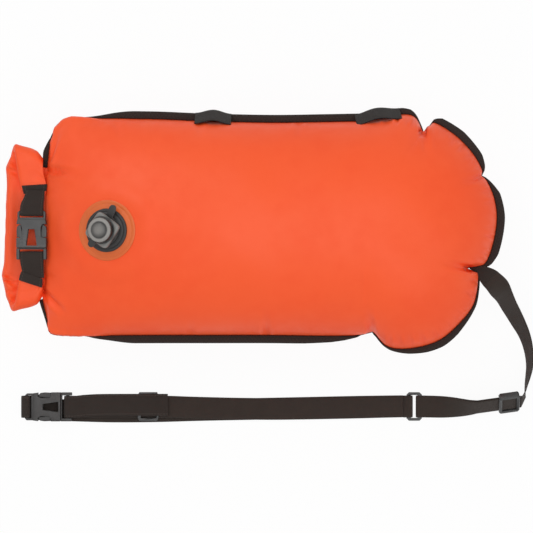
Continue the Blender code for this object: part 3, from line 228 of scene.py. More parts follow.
class Effect:
    """A shader node group with named inputs and outputs, built once."""

    name = "effect"
    takes: tuple[tuple[str, str, object], ...] = ()
    gives: tuple[tuple[str, str], ...] = ()

    def group(self) -> bpy.types.NodeTree:
        """The group, made at its first use."""
        found = bpy.data.node_groups.get(self.name)
        if found:
            return found
        tree = bpy.data.node_groups.new(self.name, "ShaderNodeTree")
        for label, kind, value in self.takes:
            socket = tree.interface.new_socket(label, in_out="INPUT", socket_type="NodeSocket" + kind)
            socket.default_value = value
        for label, kind in self.gives:
            tree.interface.new_socket(label, in_out="OUTPUT", socket_type="NodeSocket" + kind)
        graph = Graph(tree)
        source = graph.add("NodeGroupInput").outputs
        sink = graph.add("NodeGroupOutput").inputs
        for label, output in self.wire(graph, source).items():
            tree.links.new(output, sink[label])
        return tree

    def wire(self, graph: Graph, source: bpy.types.NodeOutputs) -> dict[str, bpy.types.NodeSocket]:
        """Make the group's nodes and return its outputs by name."""
        raise NotImplementedError

    def place(self, graph: Graph, **inputs: object) -> bpy.types.NodeOutputs:
        """Put the group in a material with its own values."""
        made = graph.add("Group")
        made.node_tree = self.group()
        for label, value in inputs.items():
            socket = made.inputs[label.replace("_", " ")]
            if isinstance(value, bpy.types.NodeSocket):
                graph.tree.links.new(value, socket)
            else:
                socket.default_value = value
        return made.outputs


class Variation(Effect):
    """Soft uneven colour and gloss, as handling and dye leave it."""

    name = "variation"
    takes = (
        ("Colour", "Color", (1, 1, 1, 1)), ("Tint", "Color", (0, 0, 0, 1)), ("Amount", "Float", 0.2),
        ("Size", "Float", 40.0), ("Gloss", "Float", 0.5), ("Gloss Change", "Float", 0.1),
    )
    gives = (("Colour", "Color"), ("Roughness", "Float"), ("Mask", "Float"))

    def wire(self, graph: Graph, source: bpy.types.NodeOutputs) -> dict[str, bpy.types.NodeSocket]:
        """Two sizes of noise over the object's own coordinates."""
        place = graph.add("TexCoord").outputs["Object"]
        broad = graph.add("TexNoise", {"Vector": place, "Scale": source["Size"], "Detail": 3.0}).outputs[0]
        finer = graph.math("MULTIPLY", source["Size"], 7.0)
        fine = graph.add("TexNoise", {"Vector": place, "Scale": finer, "Detail": 2.0}).outputs[0]
        both = graph.math("ADD", graph.math("MULTIPLY", broad, 0.7), graph.math("MULTIPLY", fine, 0.3))
        mask = graph.ramp(both, 0.36, 0.64)
        colour = graph.mix(graph.math("MULTIPLY", mask, source["Amount"]), source["Colour"], source["Tint"])
        shift = graph.math("MULTIPLY", graph.math("SUBTRACT", mask, 0.5), source["Gloss Change"])
        return {"Colour": colour, "Roughness": graph.math("ADD", source["Gloss"], shift), "Mask": mask}


class EdgeWear(Effect):
    """Paler rubbed edges on hard pieces."""

    name = "edge_wear"
    takes = (("Colour", "Color", (1, 1, 1, 1)), ("Worn", "Color", (1, 1, 1, 1)), ("Amount", "Float", 0.3))
    gives = (("Colour", "Color"), ("Mask", "Float"))

    def wire(self, graph: Graph, source: bpy.types.NodeOutputs) -> dict[str, bpy.types.NodeSocket]:
        """Convex edges, broken up by noise."""
        sharp = graph.ramp(graph.add("NewGeometry").outputs["Pointiness"], 0.52, 0.62)
        place = graph.add("TexCoord").outputs["Object"]
        patch = graph.add("TexNoise", {"Vector": place, "Scale": 420.0, "Detail": 3.0}).outputs[0]
        mask = graph.math("MULTIPLY", graph.math("MULTIPLY", sharp, graph.ramp(patch, 0.35, 0.6)), source["Amount"])
        return {"Colour": graph.mix(mask, source["Colour"], source["Worn"]), "Mask": mask}


class Weave(Effect):
    """Ribs of woven webbing from UVs in metres, with a mask of painted shade in their valleys."""

    name = "webbing_weave"
    takes = (("Pitch", "Float", 0.00125), ("Unevenness", "Float", 0.25))
    gives = (("Height", "Float"), ("Weave Shade", "Float"))

    def wire(self, graph: Graph, source: bpy.types.NodeOutputs) -> dict[str, bpy.types.NodeSocket]:
        """Two crossing sets of threads, each one high where the other dips."""
        flat = graph.add("UVMap", uv_map="metres").outputs[0]
        split = graph.add("SeparateXYZ", {0: flat}).outputs
        stretch = graph.math("DIVIDE", math.tau, source["Pitch"])
        wobble = graph.add("TexNoise", {"Vector": flat, "Scale": 160.0, "Detail": 1.0}).outputs[0]
        shift = graph.math("MULTIPLY", graph.math("SUBTRACT", wobble, 0.5), graph.math("MULTIPLY", source["Unevenness"], 6.0))
        warp = graph.math("SINE", graph.math("ADD", graph.math("MULTIPLY", split[0], stretch), shift))
        weft = graph.math("SINE", graph.math("ADD", graph.math("MULTIPLY", split[1], graph.math("MULTIPLY", stretch, 0.5)), shift))
        cross = graph.math("MULTIPLY", warp, weft)
        rib = graph.math("MULTIPLY", graph.math("ABSOLUTE", warp), 0.55)
        height = graph.math("ADD", graph.math("MULTIPLY", cross, 0.45), rib)
        # The second output is painted shade: a mask that is high where the weave is low.
        return {"Height": height, "Weave Shade": graph.ramp(height, 0.55, -0.15)}


class Stitches(Effect):
    """A row of stitches along the webbing at one place across it."""

    name = "stitch_row"
    takes = (("Place", "Float", 0.01), ("Pitch", "Float", 0.0034), ("Width", "Float", 0.00045))
    gives = (("Mask", "Float"), ("Groove", "Float"))

    def wire(self, graph: Graph, source: bpy.types.NodeOutputs) -> dict[str, bpy.types.NodeSocket]:
        """Short dashes on both sides of the middle."""
        flat = graph.add("UVMap", uv_map="metres").outputs[0]
        split = graph.add("SeparateXYZ", {0: flat}).outputs
        off = graph.math("ABSOLUTE", graph.math("SUBTRACT", graph.math("ABSOLUTE", split[0]), source["Place"]))
        line = graph.math("SUBTRACT", 1.0, graph.ramp(graph.math("DIVIDE", off, source["Width"]), 0.55, 1.1))
        groove = graph.math("SUBTRACT", 1.0, graph.ramp(graph.math("DIVIDE", off, source["Width"]), 0.8, 2.6))
        wave = graph.math("SINE", graph.math("MULTIPLY", split[1], graph.math("DIVIDE", math.tau, source["Pitch"])))
        return {"Mask": graph.math("MULTIPLY", line, graph.ramp(wave, -0.75, -0.45)), "Groove": groove}


@dataclass(frozen=True)
class Finish:
    """What every finish has: a colour, its darker or paler partner, and how rough it is."""

    name: str
    colour: Colour
    tint: Colour
    roughness: float

    def material(self) -> bpy.types.Material:
        """The finish's material, made at its first use."""
        found = bpy.data.materials.get(self.name)
        if found:
            return found
        made = bpy.data.materials.new(self.name)
        made.use_nodes = True
        made.diffuse_color = (*self.colour, 1)
        graph = Graph(made.node_tree)
        shader = made.node_tree.nodes["Principled BSDF"]
        self.wire(graph, shader)
        return made

    def wire(self, graph: Graph, shader: bpy.types.Node) -> None:
        """Connect the finish's nodes to the shader."""
        raise NotImplementedError

    def dress(self, made: bpy.types.Object, slot: str | None = None) -> bpy.types.Object:
        """Give a piece this finish."""
        made.data.materials.clear()
        made.data.materials.append(self.material())
        return made

    def repaint(self, node: bpy.types.Object) -> None:
        """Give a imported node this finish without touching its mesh."""
        for entry in node.material_slots:
            entry.material = self.material()


@dataclass(frozen=True)
class CoatedFabric(Finish):
    """Nylon with a satin plastic coating, stretched tight by the air inside."""

    grain: float = 0.00012

    def wire(self, graph: Graph, shader: bpy.types.Node) -> None:
        """Faint cloth under a smooth coat, with soft creases and uneven gloss."""
        out = Variation().place(graph, Colour=(*self.colour, 1), Tint=(*self.tint, 1), Amount=0.35, Size=9.0, Gloss=self.roughness, Gloss_Change=0.12)
        place = graph.add("TexCoord").outputs["Object"]
        cloth = graph.add("TexVoronoi", {"Vector": place, "Scale": 1100.0}, feature="SMOOTH_F1").outputs[0]
        crinkle = graph.add("TexNoise", {"Vector": place, "Scale": 55.0, "Detail": 5.0, "Roughness": 0.6}).outputs[0]
        height = graph.math("ADD", graph.math("MULTIPLY", cloth, 0.18), crinkle)
        bump = graph.add("Bump", {"Strength": 0.35, "Distance": self.grain * 8, "Height": height}).outputs[0]
        tree = graph.tree
        tree.links.new(out["Colour"], shader.inputs["Base Color"])
        tree.links.new(out["Roughness"], shader.inputs["Roughness"])
        tree.links.new(bump, shader.inputs["Normal"])
        shader.inputs["Coat Weight"].default_value = 0.04
        shader.inputs["Coat Roughness"].default_value = 0.35
        shader.inputs["Specular IOR Level"].default_value = 0.27


@dataclass(frozen=True)
class Webbing(Finish):
    """Woven nylon webbing."""

    lay: Lay = Lay.FINE
    stitched: bool = False
    stitch_place: float = 0.0105

    def wire(self, graph: Graph, shader: bpy.types.Node) -> None:
        """Threads on a dark ground with painted shade darkening the weave's valleys, and stitches where it is sewn."""
        base = Variation().place(graph, Colour=(*self.colour, 1), Tint=(*self.tint, 1), Amount=0.55, Size=60.0, Gloss=self.roughness, Gloss_Change=0.1)
        weave = Weave().place(graph, Pitch=self.lay.value, Unevenness=0.2)
        # Painted shade: the weave's valleys are darkened towards a darker copy of the colour.
        dark = tuple(c * 0.45 for c in self.colour)
        colour = graph.mix(graph.math("MULTIPLY", weave["Weave Shade"], 0.6), base["Colour"], (*dark, 1))
        height = weave["Height"]
        if self.stitched:
            row = Stitches().place(graph, Place=self.stitch_place)
            thread = tuple(c * 1.7 for c in self.tint)
            colour = graph.mix(graph.math("MULTIPLY", row["Mask"], 0.7), colour, (*thread, 1))
            height = graph.math("SUBTRACT", graph.math("ADD", height, row["Mask"]), row["Groove"])
        bump = graph.add("Bump", {"Strength": 0.75, "Distance": 0.00035, "Height": height}).outputs[0]
        tree = graph.tree
        tree.links.new(colour, shader.inputs["Base Color"])
        tree.links.new(base["Roughness"], shader.inputs["Roughness"])
        tree.links.new(bump, shader.inputs["Normal"])
        shader.inputs["Sheen Weight"].default_value = 0.08
        shader.inputs["Sheen Roughness"].default_value = 0.5
        shader.inputs["Specular IOR Level"].default_value = 0.22


@dataclass(frozen=True)
class Moulding(Finish):
    """Moulded plastic or rubber with a fine grain."""

    grain: float = 900.0
    relief: float = 0.00006
    wear: float = 0.35

    def wire(self, graph: Graph, shader: bpy.types.Node) -> None:
        """Fine grain, rubbed edges and slightly uneven gloss."""
        base = Variation().place(graph, Colour=(*self.colour, 1), Tint=(*self.tint, 1), Amount=0.4, Size=90.0, Gloss=self.roughness, Gloss_Change=0.14)
        worn = tuple(min(c * 2.6 + 0.02, 1) for c in self.colour)
        edge = EdgeWear().place(graph, Colour=base["Colour"], Worn=(*worn, 1), Amount=self.wear)
        place = graph.add("TexCoord").outputs["Object"]
        grain = graph.add("TexNoise", {"Vector": place, "Scale": self.grain, "Detail": 4.0}).outputs[0]
        bump = graph.add("Bump", {"Strength": 0.5, "Distance": self.relief, "Height": grain}).outputs[0]
        tree = graph.tree
        tree.links.new(edge["Colour"], shader.inputs["Base Color"])
        tree.links.new(base["Roughness"], shader.inputs["Roughness"])
        tree.links.new(bump, shader.inputs["Normal"])


@dataclass(frozen=True)
class PaintedRingShadeMoulding(Moulding):
    """Moulded plastic whose tone changes from its axis outwards: painted shade in its grooves and at its rims, and on a
    dome a painted highlight in the middle that fades to painted shade at its edge.
    """

    rings: tuple[tuple[float, float], ...] = ()
    radius: float = 0.02

    def wire(self, graph: Graph, shader: bpy.types.Node) -> None:
        """The plain moulding, multiplied by painted shade and highlight that depend on how far a point is from the
        axis.
        """
        super().wire(graph, shader)
        tree = graph.tree
        split = graph.add("SeparateXYZ", {0: graph.add("TexCoord").outputs["Object"]}).outputs
        flat = graph.math("SQRT", graph.math("ADD", graph.math("MULTIPLY", split[0], split[0]), graph.math("MULTIPLY", split[1], split[1])))
        curve = graph.add("ValToRGB", {0: graph.math("DIVIDE", flat, self.radius)})
        stops = curve.color_ramp.elements
        while len(stops) < len(self.rings):
            stops.new(0.5)
        for stop, (place, tone) in zip(stops, self.rings):
            stop.position, stop.color = place / self.radius, (tone, tone, tone, 1)
        # Painted shade and highlight: the ring tones darken the grooves and rims and shade a dome from its middle to
        # its edge.
        before = shader.inputs["Base Color"].links[0].from_socket
        tree.links.new(graph.mix(1.0, before, curve.outputs[0], "MULTIPLY"), shader.inputs["Base Color"])


ORANGE = CoatedFabric("coated_fabric", (0.955, 0.104, 0.024), (0.90, 0.070, 0.013), 0.48)
PATCH = CoatedFabric("welded_patch", (0.74, 0.147, 0.036), (0.62, 0.118, 0.030), 0.34)
WEBBING = Webbing("webbing", (0.036, 0.026, 0.021), (0.052, 0.039, 0.032), 0.78)
SEWN_WEBBING = Webbing("sewn_webbing", (0.030, 0.022, 0.018), (0.043, 0.034, 0.029), 0.80, stitched=True)
GRAB_WEBBING = Webbing("grab_webbing", (0.020, 0.0155, 0.013), (0.030, 0.024, 0.021), 0.82, stitched=True)
BINDING = Webbing("binding_tape", (0.026, 0.017, 0.014), (0.038, 0.028, 0.024), 0.8, Lay.COARSE, True, 0.0046)
PLASTIC = Moulding("buckle_plastic", (0.029, 0.029, 0.029), (0.044, 0.044, 0.044), 0.42)
BELT_PLASTIC = Moulding("belt_buckle_plastic", (0.019, 0.0175, 0.017), (0.030, 0.028, 0.026), 0.48)
# Painted shade on the collar: dark under the cap and in a ring next to the cap's edge.
VALVE_COLLAR = PaintedRingShadeMoulding(
    "valve_collar_painted_shade_plastic", (0.195, 0.190, 0.178), (0.235, 0.230, 0.218), 0.42, wear=0.3,
    rings=((0.0, 0.2), (0.0146, 0.06), (0.0154, 0.80), (0.0185, 1.0)),
)
# Painted light on the cap: the dome lighter in its middle and darker towards its edge, a dark groove round the dome and
# a dark outer rim.
VALVE_CAP = PaintedRingShadeMoulding(
    "valve_cap_painted_shade_plastic", (0.265, 0.250, 0.232), (0.31, 0.296, 0.276), 0.40, wear=0.3,
    rings=((0.0, 0.72), (0.0036, 0.60), (0.0078, 0.16), (0.0087, 0.04), (0.0094, 0.50), (0.0102, 1.0), (0.0126, 0.92), (0.0134, 0.06)),
)
VALVE_RUBBER = Moulding("valve_rubber", (0.012, 0.011, 0.011), (0.022, 0.020, 0.019), 0.5, wear=0.2)
STIFFENER = Moulding("stiffener", (0.5, 0.49, 0.46), (0.42, 0.41, 0.38), 0.5)


# ---- webbing ---------------------------------------------------------------


@dataclass
class Station:
    """A place on a strap: the middle of its section, the direction of its width, and its width."""

    centre: Vector
    across: Vector
    width: float = WEBBING_WIDTH


@dataclass
class Strap:
    """Flat webbing through stations."""

    name: str
    stations: list[Station]
    nodes: tuple[str, ...]
    wall: float = WEBBING_WALL
    finish: Finish = WEBBING
    cup: float = 0.0
    half_points: int = 6
    start_along: float = 0.0

    def section(self, width: float) -> tuple[list[tuple[float, float]], list[float]]:
        """The section's outline as shares across and metres up, and the metres across of each point."""
        top = []
        for k in range(-self.half_points, self.half_points + 1):
            share = k / self.half_points
            eased = math.copysign(1 - (1 - abs(share)) ** 1.6, share)
            fall = 1 - 0.55 * abs(eased) ** 14
            top.append((eased * width / 2, self.wall / 2 * fall))
        ring = top + [(x, -z) for x, z in reversed(top)]
        return ring, [x for x, _ in ring] + [ring[0][0]]

    def build(self) -> bpy.types.Object:
        """Make the strap's mesh, dress it and let it stand for its nodes."""
        rings, along = [], []
        run = self.start_along
        for i, station in enumerate(self.stations):
            before = self.stations[max(i - 1, 0)].centre
            after = self.stations[min(i + 1, len(self.stations) - 1)].centre
            across = station.across.normalized()
            normal = across.cross((after - before).normalized()).normalized()
            ring, flat = self.section(station.width)
            bow = [self.cup * (1 - (2 * x / station.width) ** 2) for x, _ in ring]
            rings.append([station.centre + across * x + normal * (z + b) for (x, z), b in zip(ring, bow)])
            if i:
                run += (station.centre - self.stations[i - 1].centre).length
            along.append(run)
        points = np.array([[tuple(p) for p in ring] for ring in rings])
        made = grid_object(self.name, points, np.array(along), np.array(flat))
        self.finish.dress(made, self.nodes[0])
        if self.nodes:
            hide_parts(*self.nodes)
        return made

    def path(self) -> list[tuple[float, float, float]]:
        """The strap's centreline."""
        return [tuple(station.centre) for station in self.stations]


def leash_across(direction: Vector, roll: float) -> Vector:
    """Width direction of the leash: left of its plan direction, rolled about its length in degrees."""
    left = Vector((-direction.y, direction.x, 0)).normalized()
    return left * math.cos(math.radians(roll)) + UP * math.sin(math.radians(roll))


def rolled(keys: list[tuple[float, float, float, float]], steps: int) -> list[Station]:
    """Stations of the leash from keys of x, y, z and roll."""
    route = curve_through(keys, steps)
    made = []
    for i, row in enumerate(route):
        ahead = Vector(route[min(i + 1, len(route) - 1)][:3] - route[max(i - 1, 0)][:3])
        made.append(Station(Vector(row[:3]), leash_across(ahead, row[3])))
    return made


def lay_flat(keys: list[tuple[float, float, float]], steps: int) -> list[Station]:
    """Stations of the belt through keys, its width along Y."""
    return [Station(Vector(row), ACROSS_Y) for row in curve_through(keys, steps)]


# ---- the bag ----------------------------------------------------------------


@dataclass(frozen=True)
class Crease:
    """A fold in the blown-up fabric, from start to end in plan, deepest at its start."""

    start: tuple[float, float]
    end: tuple[float, float]
    half_width: float
    depth: float
    both_ends: bool = False

    def relief(self, x: np.ndarray, y: np.ndarray) -> np.ndarray:
        """How far the fold moves the surface outwards at each point."""
        a, b = np.array(self.start), np.array(self.end)
        span = b - a
        length = np.hypot(*span)
        along = ((x - a[0]) * span[0] + (y - a[1]) * span[1]) / length**2
        off = ((x - a[0]) * span[1] - (y - a[1]) * span[0]) / length / self.half_width
        fade = np.clip(1 - along, 0, 1) ** 0.8 * np.clip((along + 0.25) * 4, 0, 1)
        if self.both_ends:
            fade = np.clip(np.sin(np.clip(along, 0, 1) * np.pi), 0, 1) ** 0.7
        fade = fade * (along < 1.05)
        dip = -np.exp(-(off**2)) + 0.5 * np.exp(-((np.abs(off) - 1.9) ** 2))
        return self.depth * dip * fade


@dataclass
class Bag:
    """The bag's two welded panels, the tape on their seam and the loops on the tape."""

    length: float = 0.501
    width: float = 0.258
    mouth_x: float = -0.23145
    seam_z: float = 0.082
    wall: float = 0.001
    flange: float = 0.0082
    tape_wall: float = 0.0012
    tape_start: float = 0.0008
    mouth_half_depth: float = 0.005
    sag: float = 0.003
    notch_depth: float = 0.008
    crown: float = 0.50
    fan: float = 0.70
    fold_power: int = 8
    side_knots: int = 13
    side_steps: int = 128
    overhang: float = 0.0030
    neck_end: float = -0.2337
    neck_height: float = 0.00495
    neck_half: float = 0.072
    ring_steps: int = 44
    valve_share: float = 0.149
    valve_flat: float = 0.0345
    valve_blend: float = 0.062
    upper: tuple = (
        (0.0085, 0.273), (0.0109, 0.3194), (0.0145, 0.3667), (0.0179, 0.4055), (0.0275, 0.4384), (0.0340, 0.4516),
        (0.0446, 0.4725), (0.0610, 0.4860), (0.0907, 0.4830), (0.125, 0.4815), (0.160, 0.4820), (0.204, 0.4800),
        (0.260, 0.478), (0.360, 0.470), (0.501, 0.464), (0.620, 0.467), (0.700, 0.470),
    )
    lower: tuple = (
        (-0.0021, -0.2907), (0.0017, -0.3229), (0.0059, -0.3566), (0.0089, -0.3876), (0.0113, -0.4150),
        (0.0165, -0.4310), (0.034, -0.4385), (0.062, -0.4420), (0.092, -0.4430), (0.118, -0.4470), (0.160, -0.4440),
        (0.260, -0.443), (0.360, -0.443), (0.501, -0.443), (0.620, -0.446), (0.700, -0.444),
    )
    lobes: tuple = (
        ((0.700, 0.470), (0.750, 0.482), (0.795, 0.500), (0.822, 0.484), (0.839, 0.420)),
        ((0.839, 0.420), (0.853, 0.452), (0.866, 0.462), (0.910, 0.408), (0.947, 0.333),
         (0.966, 0.269), (0.967, 0.238)),
        ((0.967, 0.238), (0.978, 0.216), (0.994, 0.143), (1.000, 0.054), (0.992, -0.049),
         (0.976, -0.132), (0.957, -0.150), (0.934, -0.157)),
        ((0.934, -0.157), (0.950, -0.172), (0.959, -0.186), (0.957, -0.248), (0.947, -0.319),
         (0.921, -0.386), (0.8805, -0.457), (0.836, -0.491), (0.787, -0.502), (0.755, -0.486),
         (0.732, -0.439), (0.726, -0.431)),
        ((0.726, -0.431), (0.700, -0.444)),
    )
    lobe_steps: tuple = (34, 52, 64, 84, 6)
    lobe_tapes: tuple = (
        ((0.0, 0.95), (0.55, 0.80), (0.68, 0.62), (0.76, 0.35), (0.84, 0.14), (1.0, 0.08)),
        ((0.0, -0.06), (0.10, 0.0), (0.15, 0.35), (0.23, 0.85), (0.5, 1.0), (0.8, 0.85), (0.90, 0.55), (0.96, 0.25), (1.0, -0.08)),
        ((0.0, -0.08), (0.05, 0.12), (0.1, 0.40), (0.2, 0.85), (0.4, 1.0), (0.72, 1.0), (0.82, 0.70), (0.9, 0.40), (1.0, -0.05)),
        ((0.0, 0.0), (0.08, 0.06), (0.2, 0.22), (0.3, 0.36), (0.38, 0.60), (0.45, 0.80), (0.55, 0.9), (0.65, 0.85), (0.75, 0.62),
         (0.82, 0.38), (0.9, 0.18), (1.0, 0.10)),
        ((0.0, -0.08), (1.0, -0.08)),
    )
    lower_tape: tuple = ((0.550, 1.0), (0.577, 0.98), (0.635, 0.78), (0.664, 0.55), (0.692, 0.18), (0.702, -0.08))
    upper_corner: tuple = ((0.060, 0.08), (0.066, 0.50), (0.0876, 0.70), (0.0928, 0.52), (0.0990, 0.24), (0.1035, 0.0))
    lower_corner: tuple = ((0.064, 0.10), (0.070, 0.40), (0.080, 0.36), (0.094, 0.22), (0.104, 0.06), (0.108, 0.0))
    creases: tuple = (
        Crease((-0.2285, 0.0668), (-0.1895, 0.0610), 0.0034, 0.0074),
        Crease((-0.2268, 0.0715), (-0.2150, 0.1080), 0.0029, 0.0052),
        Crease((-0.2330, -0.0650), (-0.2060, -0.0905), 0.0034, 0.0072),
        Crease((-0.228, -0.0480), (-0.209, -0.0560), 0.0030, 0.0020),
        Crease((-0.227, 0.0440), (-0.205, 0.0420), 0.0030, 0.0016),
        Crease((-0.150, 0.1180), (-0.143, 0.1010), 0.0045, 0.0016),
        Crease((0.187, 0.1120), (0.187, 0.0820), 0.0035, 0.0032),
        Crease((0.0150, -0.1120), (0.0145, -0.0850), 0.0032, 0.0026),
        Crease((0.131, -0.1130), (0.1235, -0.0860), 0.0035, 0.0030),
        Crease((0.239, -0.0415), (0.205, -0.0370), 0.0036, 0.0038),
        Crease((0.252, 0.0590), (0.228, 0.0540), 0.0036, 0.0024),
        Crease((0.050, 0.1180), (0.048, 0.1030), 0.0034, 0.0014),
        Crease((-0.060, 0.1210), (-0.058, 0.1040), 0.0036, 0.0014),
        Crease((-0.068, -0.1120), (-0.066, -0.0980), 0.0036, 0.0014),
    )

    def spot(self, share: tuple[float, float]) -> tuple[float, float]:
        """A place in plan from its shares of the bag's length and width."""
        return self.mouth_x + share[0] * self.length, share[1] * self.width

    def smoothed(self, line: np.ndarray, rounds: int) -> np.ndarray:
        """The line without its notches, its ends kept."""
        out = line.copy()
        for _ in range(rounds):
            out[1:-1] = (out[:-2] + 2 * out[1:-1] + out[2:]) / 4
        return out

    def outline(self) -> dict[str, np.ndarray]:
        """The welded outline from the upper mouth corner round to the lower one.

        Returns:
            seam, plain and spine points in plan, the outward direction, the share of the flange and of
            the fabric that hangs over it.
        """
        upper = evenly([self.spot(s) for s in self.upper], self.side_steps)
        lower = evenly([self.spot(s) for s in self.lower], self.side_steps)
        parts = [evenly([self.spot(s) for s in keys], n)[:-1] for keys, n in zip(self.lobes, self.lobe_steps)]
        fan = np.concatenate([*parts, [self.spot(self.lobes[-1][-1])]])
        plain_fan = self.smoothed(fan, 800)
        seam = np.concatenate([upper[:-1], fan, lower[-2::-1]])
        plain = np.concatenate([upper[:-1], plain_fan, lower[-2::-1]])
        middle = (upper + lower)[:-1] / 2
        middle[:, 1] = 0
        centre = np.array([self.spot((self.fan, 0))])
        spine = np.concatenate([middle, np.repeat(centre, len(fan), axis=0), middle[::-1]])
        ahead = np.gradient(self.smoothed(plain, 6), axis=0)
        outward = np.stack([-ahead[:, 1], ahead[:, 0]], axis=1)
        outward /= np.linalg.norm(outward, axis=1, keepdims=True)
        far = (seam[:, 0] - self.mouth_x) / self.length
        starts = np.where(seam[:, 1] > 0, 0.018, 0.007)
        over = np.array([smoothstep(a, a + 0.011, f) * (1 - smoothstep(0.085, 0.14, f)) for a, f in zip(starts, far)])
        flange = self.tape_shares(seam, far)
        return {"seam": seam, "plain": plain, "spine": spine, "outward": outward, "flange": flange, "over": over}

    def tape_shares(self, seam: np.ndarray, far: np.ndarray) -> np.ndarray:
        """How wide the tape is along the outline, as a share of its full width: it tucks under at the notches.

        Args:
            seam: The outline's points in plan.
            far: Their shares of the bag's length.

        Returns:
            One share for each point.
        """
        side = self.side_steps
        lobes = [np.interp(np.arange(n) / n, *zip(*keys)) for keys, n in zip(self.lobe_tapes, self.lobe_steps)]
        fan = np.concatenate([*lobes, [self.lobe_tapes[-1][-1][1]]])
        ease = np.array([smoothstep(0.070, 0.205, f) for f in far])
        high, low = slice(0, side), slice(len(seam) - side, len(seam))
        shares = np.ones(len(seam))
        shares[side:side + len(fan)] = fan
        shares[high] = 0.95 * ease[high] + np.interp(seam[high, 1], *zip(*self.upper_corner)) * (far[high] < 0.02)
        shares[low] = ease[low] * np.interp(far[low], *zip(*self.lower_tape))
        shares[low] += np.interp(-seam[low, 1], *zip(*self.lower_corner)) * (far[low] < 0.014)
        return shares

    def profile(self, x: np.ndarray) -> np.ndarray:
        """The bag's height along its length as a share of its full height."""
        upper = evenly([self.spot(s) for s in self.upper], self.side_knots)
        lower = evenly([self.spot(s) for s in self.lower], self.side_knots)
        knots = (upper[:, 0] + lower[:, 0]) / 2
        crown = self.spot((self.crown, 0))[0]
        full = self.seam_z - self.wall - GAP / 2
        shut = self.mouth_half_depth / full
        rise = np.sqrt(1 - (1 - shut**2) * np.clip((crown - knots) / (crown - self.mouth_x), 0, 1) ** 2)
        fine = curve_through(list(zip(knots, rise)), 24)
        return np.interp(x, fine[:, 0], np.minimum(fine[:, 1], 1))

    def valve_plane(self) -> tuple[float, float, float]:
        """Place, height and slope of the front panel under the valve."""
        crown = self.spot((self.crown, 0))[0]
        x = self.spot((self.valve_share, 0))[0]
        base = self.wall + GAP / 2
        full = self.seam_z - base
        shut = self.mouth_half_depth / full
        along = (crown - x) / (crown - self.mouth_x)
        height = full * math.sqrt(1 - (1 - shut**2) * along**2)
        slope = full**2 * (crown - x) / (crown - self.mouth_x) ** 2 / height
        return x, self.seam_z + base + height, slope

    def height(self, x: np.ndarray, y: np.ndarray, share: np.ndarray, front: bool) -> np.ndarray:
        """Outer surface of a panel at points in plan."""
        base = self.wall + GAP / 2
        full = self.seam_z - base + (0 if front else self.sag)
        swell = full * self.profile(x) * np.sqrt(np.clip(1 - share**2, 0, None))
        if not front:
            return np.maximum(self.seam_z - base - swell, 0)
        z = self.seam_z + base + swell
        place, level, slope = self.valve_plane()
        flat = level + slope * (x - place)
        away = np.clip((np.hypot(x - place, y) - self.valve_flat) / (self.valve_blend - self.valve_flat), 0, 1)
        return z + (flat - z) * (1 - away**2 * (3 - 2 * away))

    def puckers(self, share: np.ndarray, run: np.ndarray, loose: np.ndarray) -> np.ndarray:
        """Small gathers that run inwards from the weld."""
        wave = np.sin(run * 610 + 2.2 * np.sin(run * 71)) + 0.6 * np.sin(run * 1040 + 1.7 * np.sin(run * 113 + 1))
        strength = 0.35 + 0.65 * np.sin(run * 37 + np.sin(run * 11) * 2) ** 2
        band = np.exp(-(((share - 0.965) / 0.032) ** 2))
        return 0.00048 * wave * strength * band * loose

    def relief(self, x: np.ndarray, y: np.ndarray, share: np.ndarray, run: np.ndarray, front: bool) -> np.ndarray:
        """How far wrinkles and gathers move the surface outwards."""
        loose = 1 + 1.5 * (x > self.spot((0.74, 0))[0])
        total = self.puckers(share, run + (0 if front else 0.37), loose)
        for crease in self.creases:
            total += crease.relief(x, y) * (1 if front else 0.7)
        broad = np.sin(x * 47 + np.sin(y * 39)) * np.sin(y * 53 + np.sin(x * 31) * 1.4)
        total += 0.0007 * broad * np.clip((1 - share) * 4, 0, 1)
        place = self.valve_plane()[0]
        away = np.clip((np.hypot(x - place, y) - 0.032) / 0.02, 0, 1) if front else 1
        edge = np.clip((1 - share) / 0.012, 0, 1)
        return total * away * edge

    def panel(self, name: str, node: str, front: bool) -> bpy.types.Object:
        """One panel with its wrinkles and its flange."""
        line = self.outline()
        seam, plain, spine = line["seam"], line["plain"], line["spine"]
        shares = np.sin(np.linspace(0, math.pi / 2, self.ring_steps + 1))[1:]
        run = np.concatenate([[0], np.cumsum(np.linalg.norm(np.diff(plain, axis=0), axis=1))])
        points, share_of, run_of = [], [], []
        for share in shares:
            ring = spine + (plain - spine) * share + (seam - plain) * share**self.fold_power
            z = self.height(ring[:, 0], ring[:, 1], np.full(len(ring), share), front)
            if front and share < 1:
                out = self.overhang * math.exp(-(((share - 0.985) / 0.022) ** 2))
                ring = ring + line["outward"] * (out * line["over"])[:, None]
            points.append(np.column_stack([ring, z]))
            share_of.append(np.full(len(ring), share))
            run_of.append(run)
        rim = seam + line["outward"] * (self.flange * line["flange"])[:, None]
        level = self.seam_z + (self.wall + GAP / 2) * (1 if front else -1)
        points.append(np.column_stack([rim, np.full(len(rim), level)]))
        share_of.append(np.ones(len(rim)))
        run_of.append(run)
        count, rings = len(seam), len(points)
        knots = self.side_steps
        centres = spine[:knots + 1]
        z = self.height(centres[:, 0], centres[:, 1], np.zeros(len(centres)), front)
        points.append(np.column_stack([centres, z]))
        share_of.append(np.zeros(len(centres)))
        run_of.append(np.zeros(len(centres)))
        co = np.concatenate(points)
        first = rings * count
        faces = []

        def chain(ray: int, centre: int) -> list[int]:
            return [first + centre] + [row * count + ray for row in range(rings)]

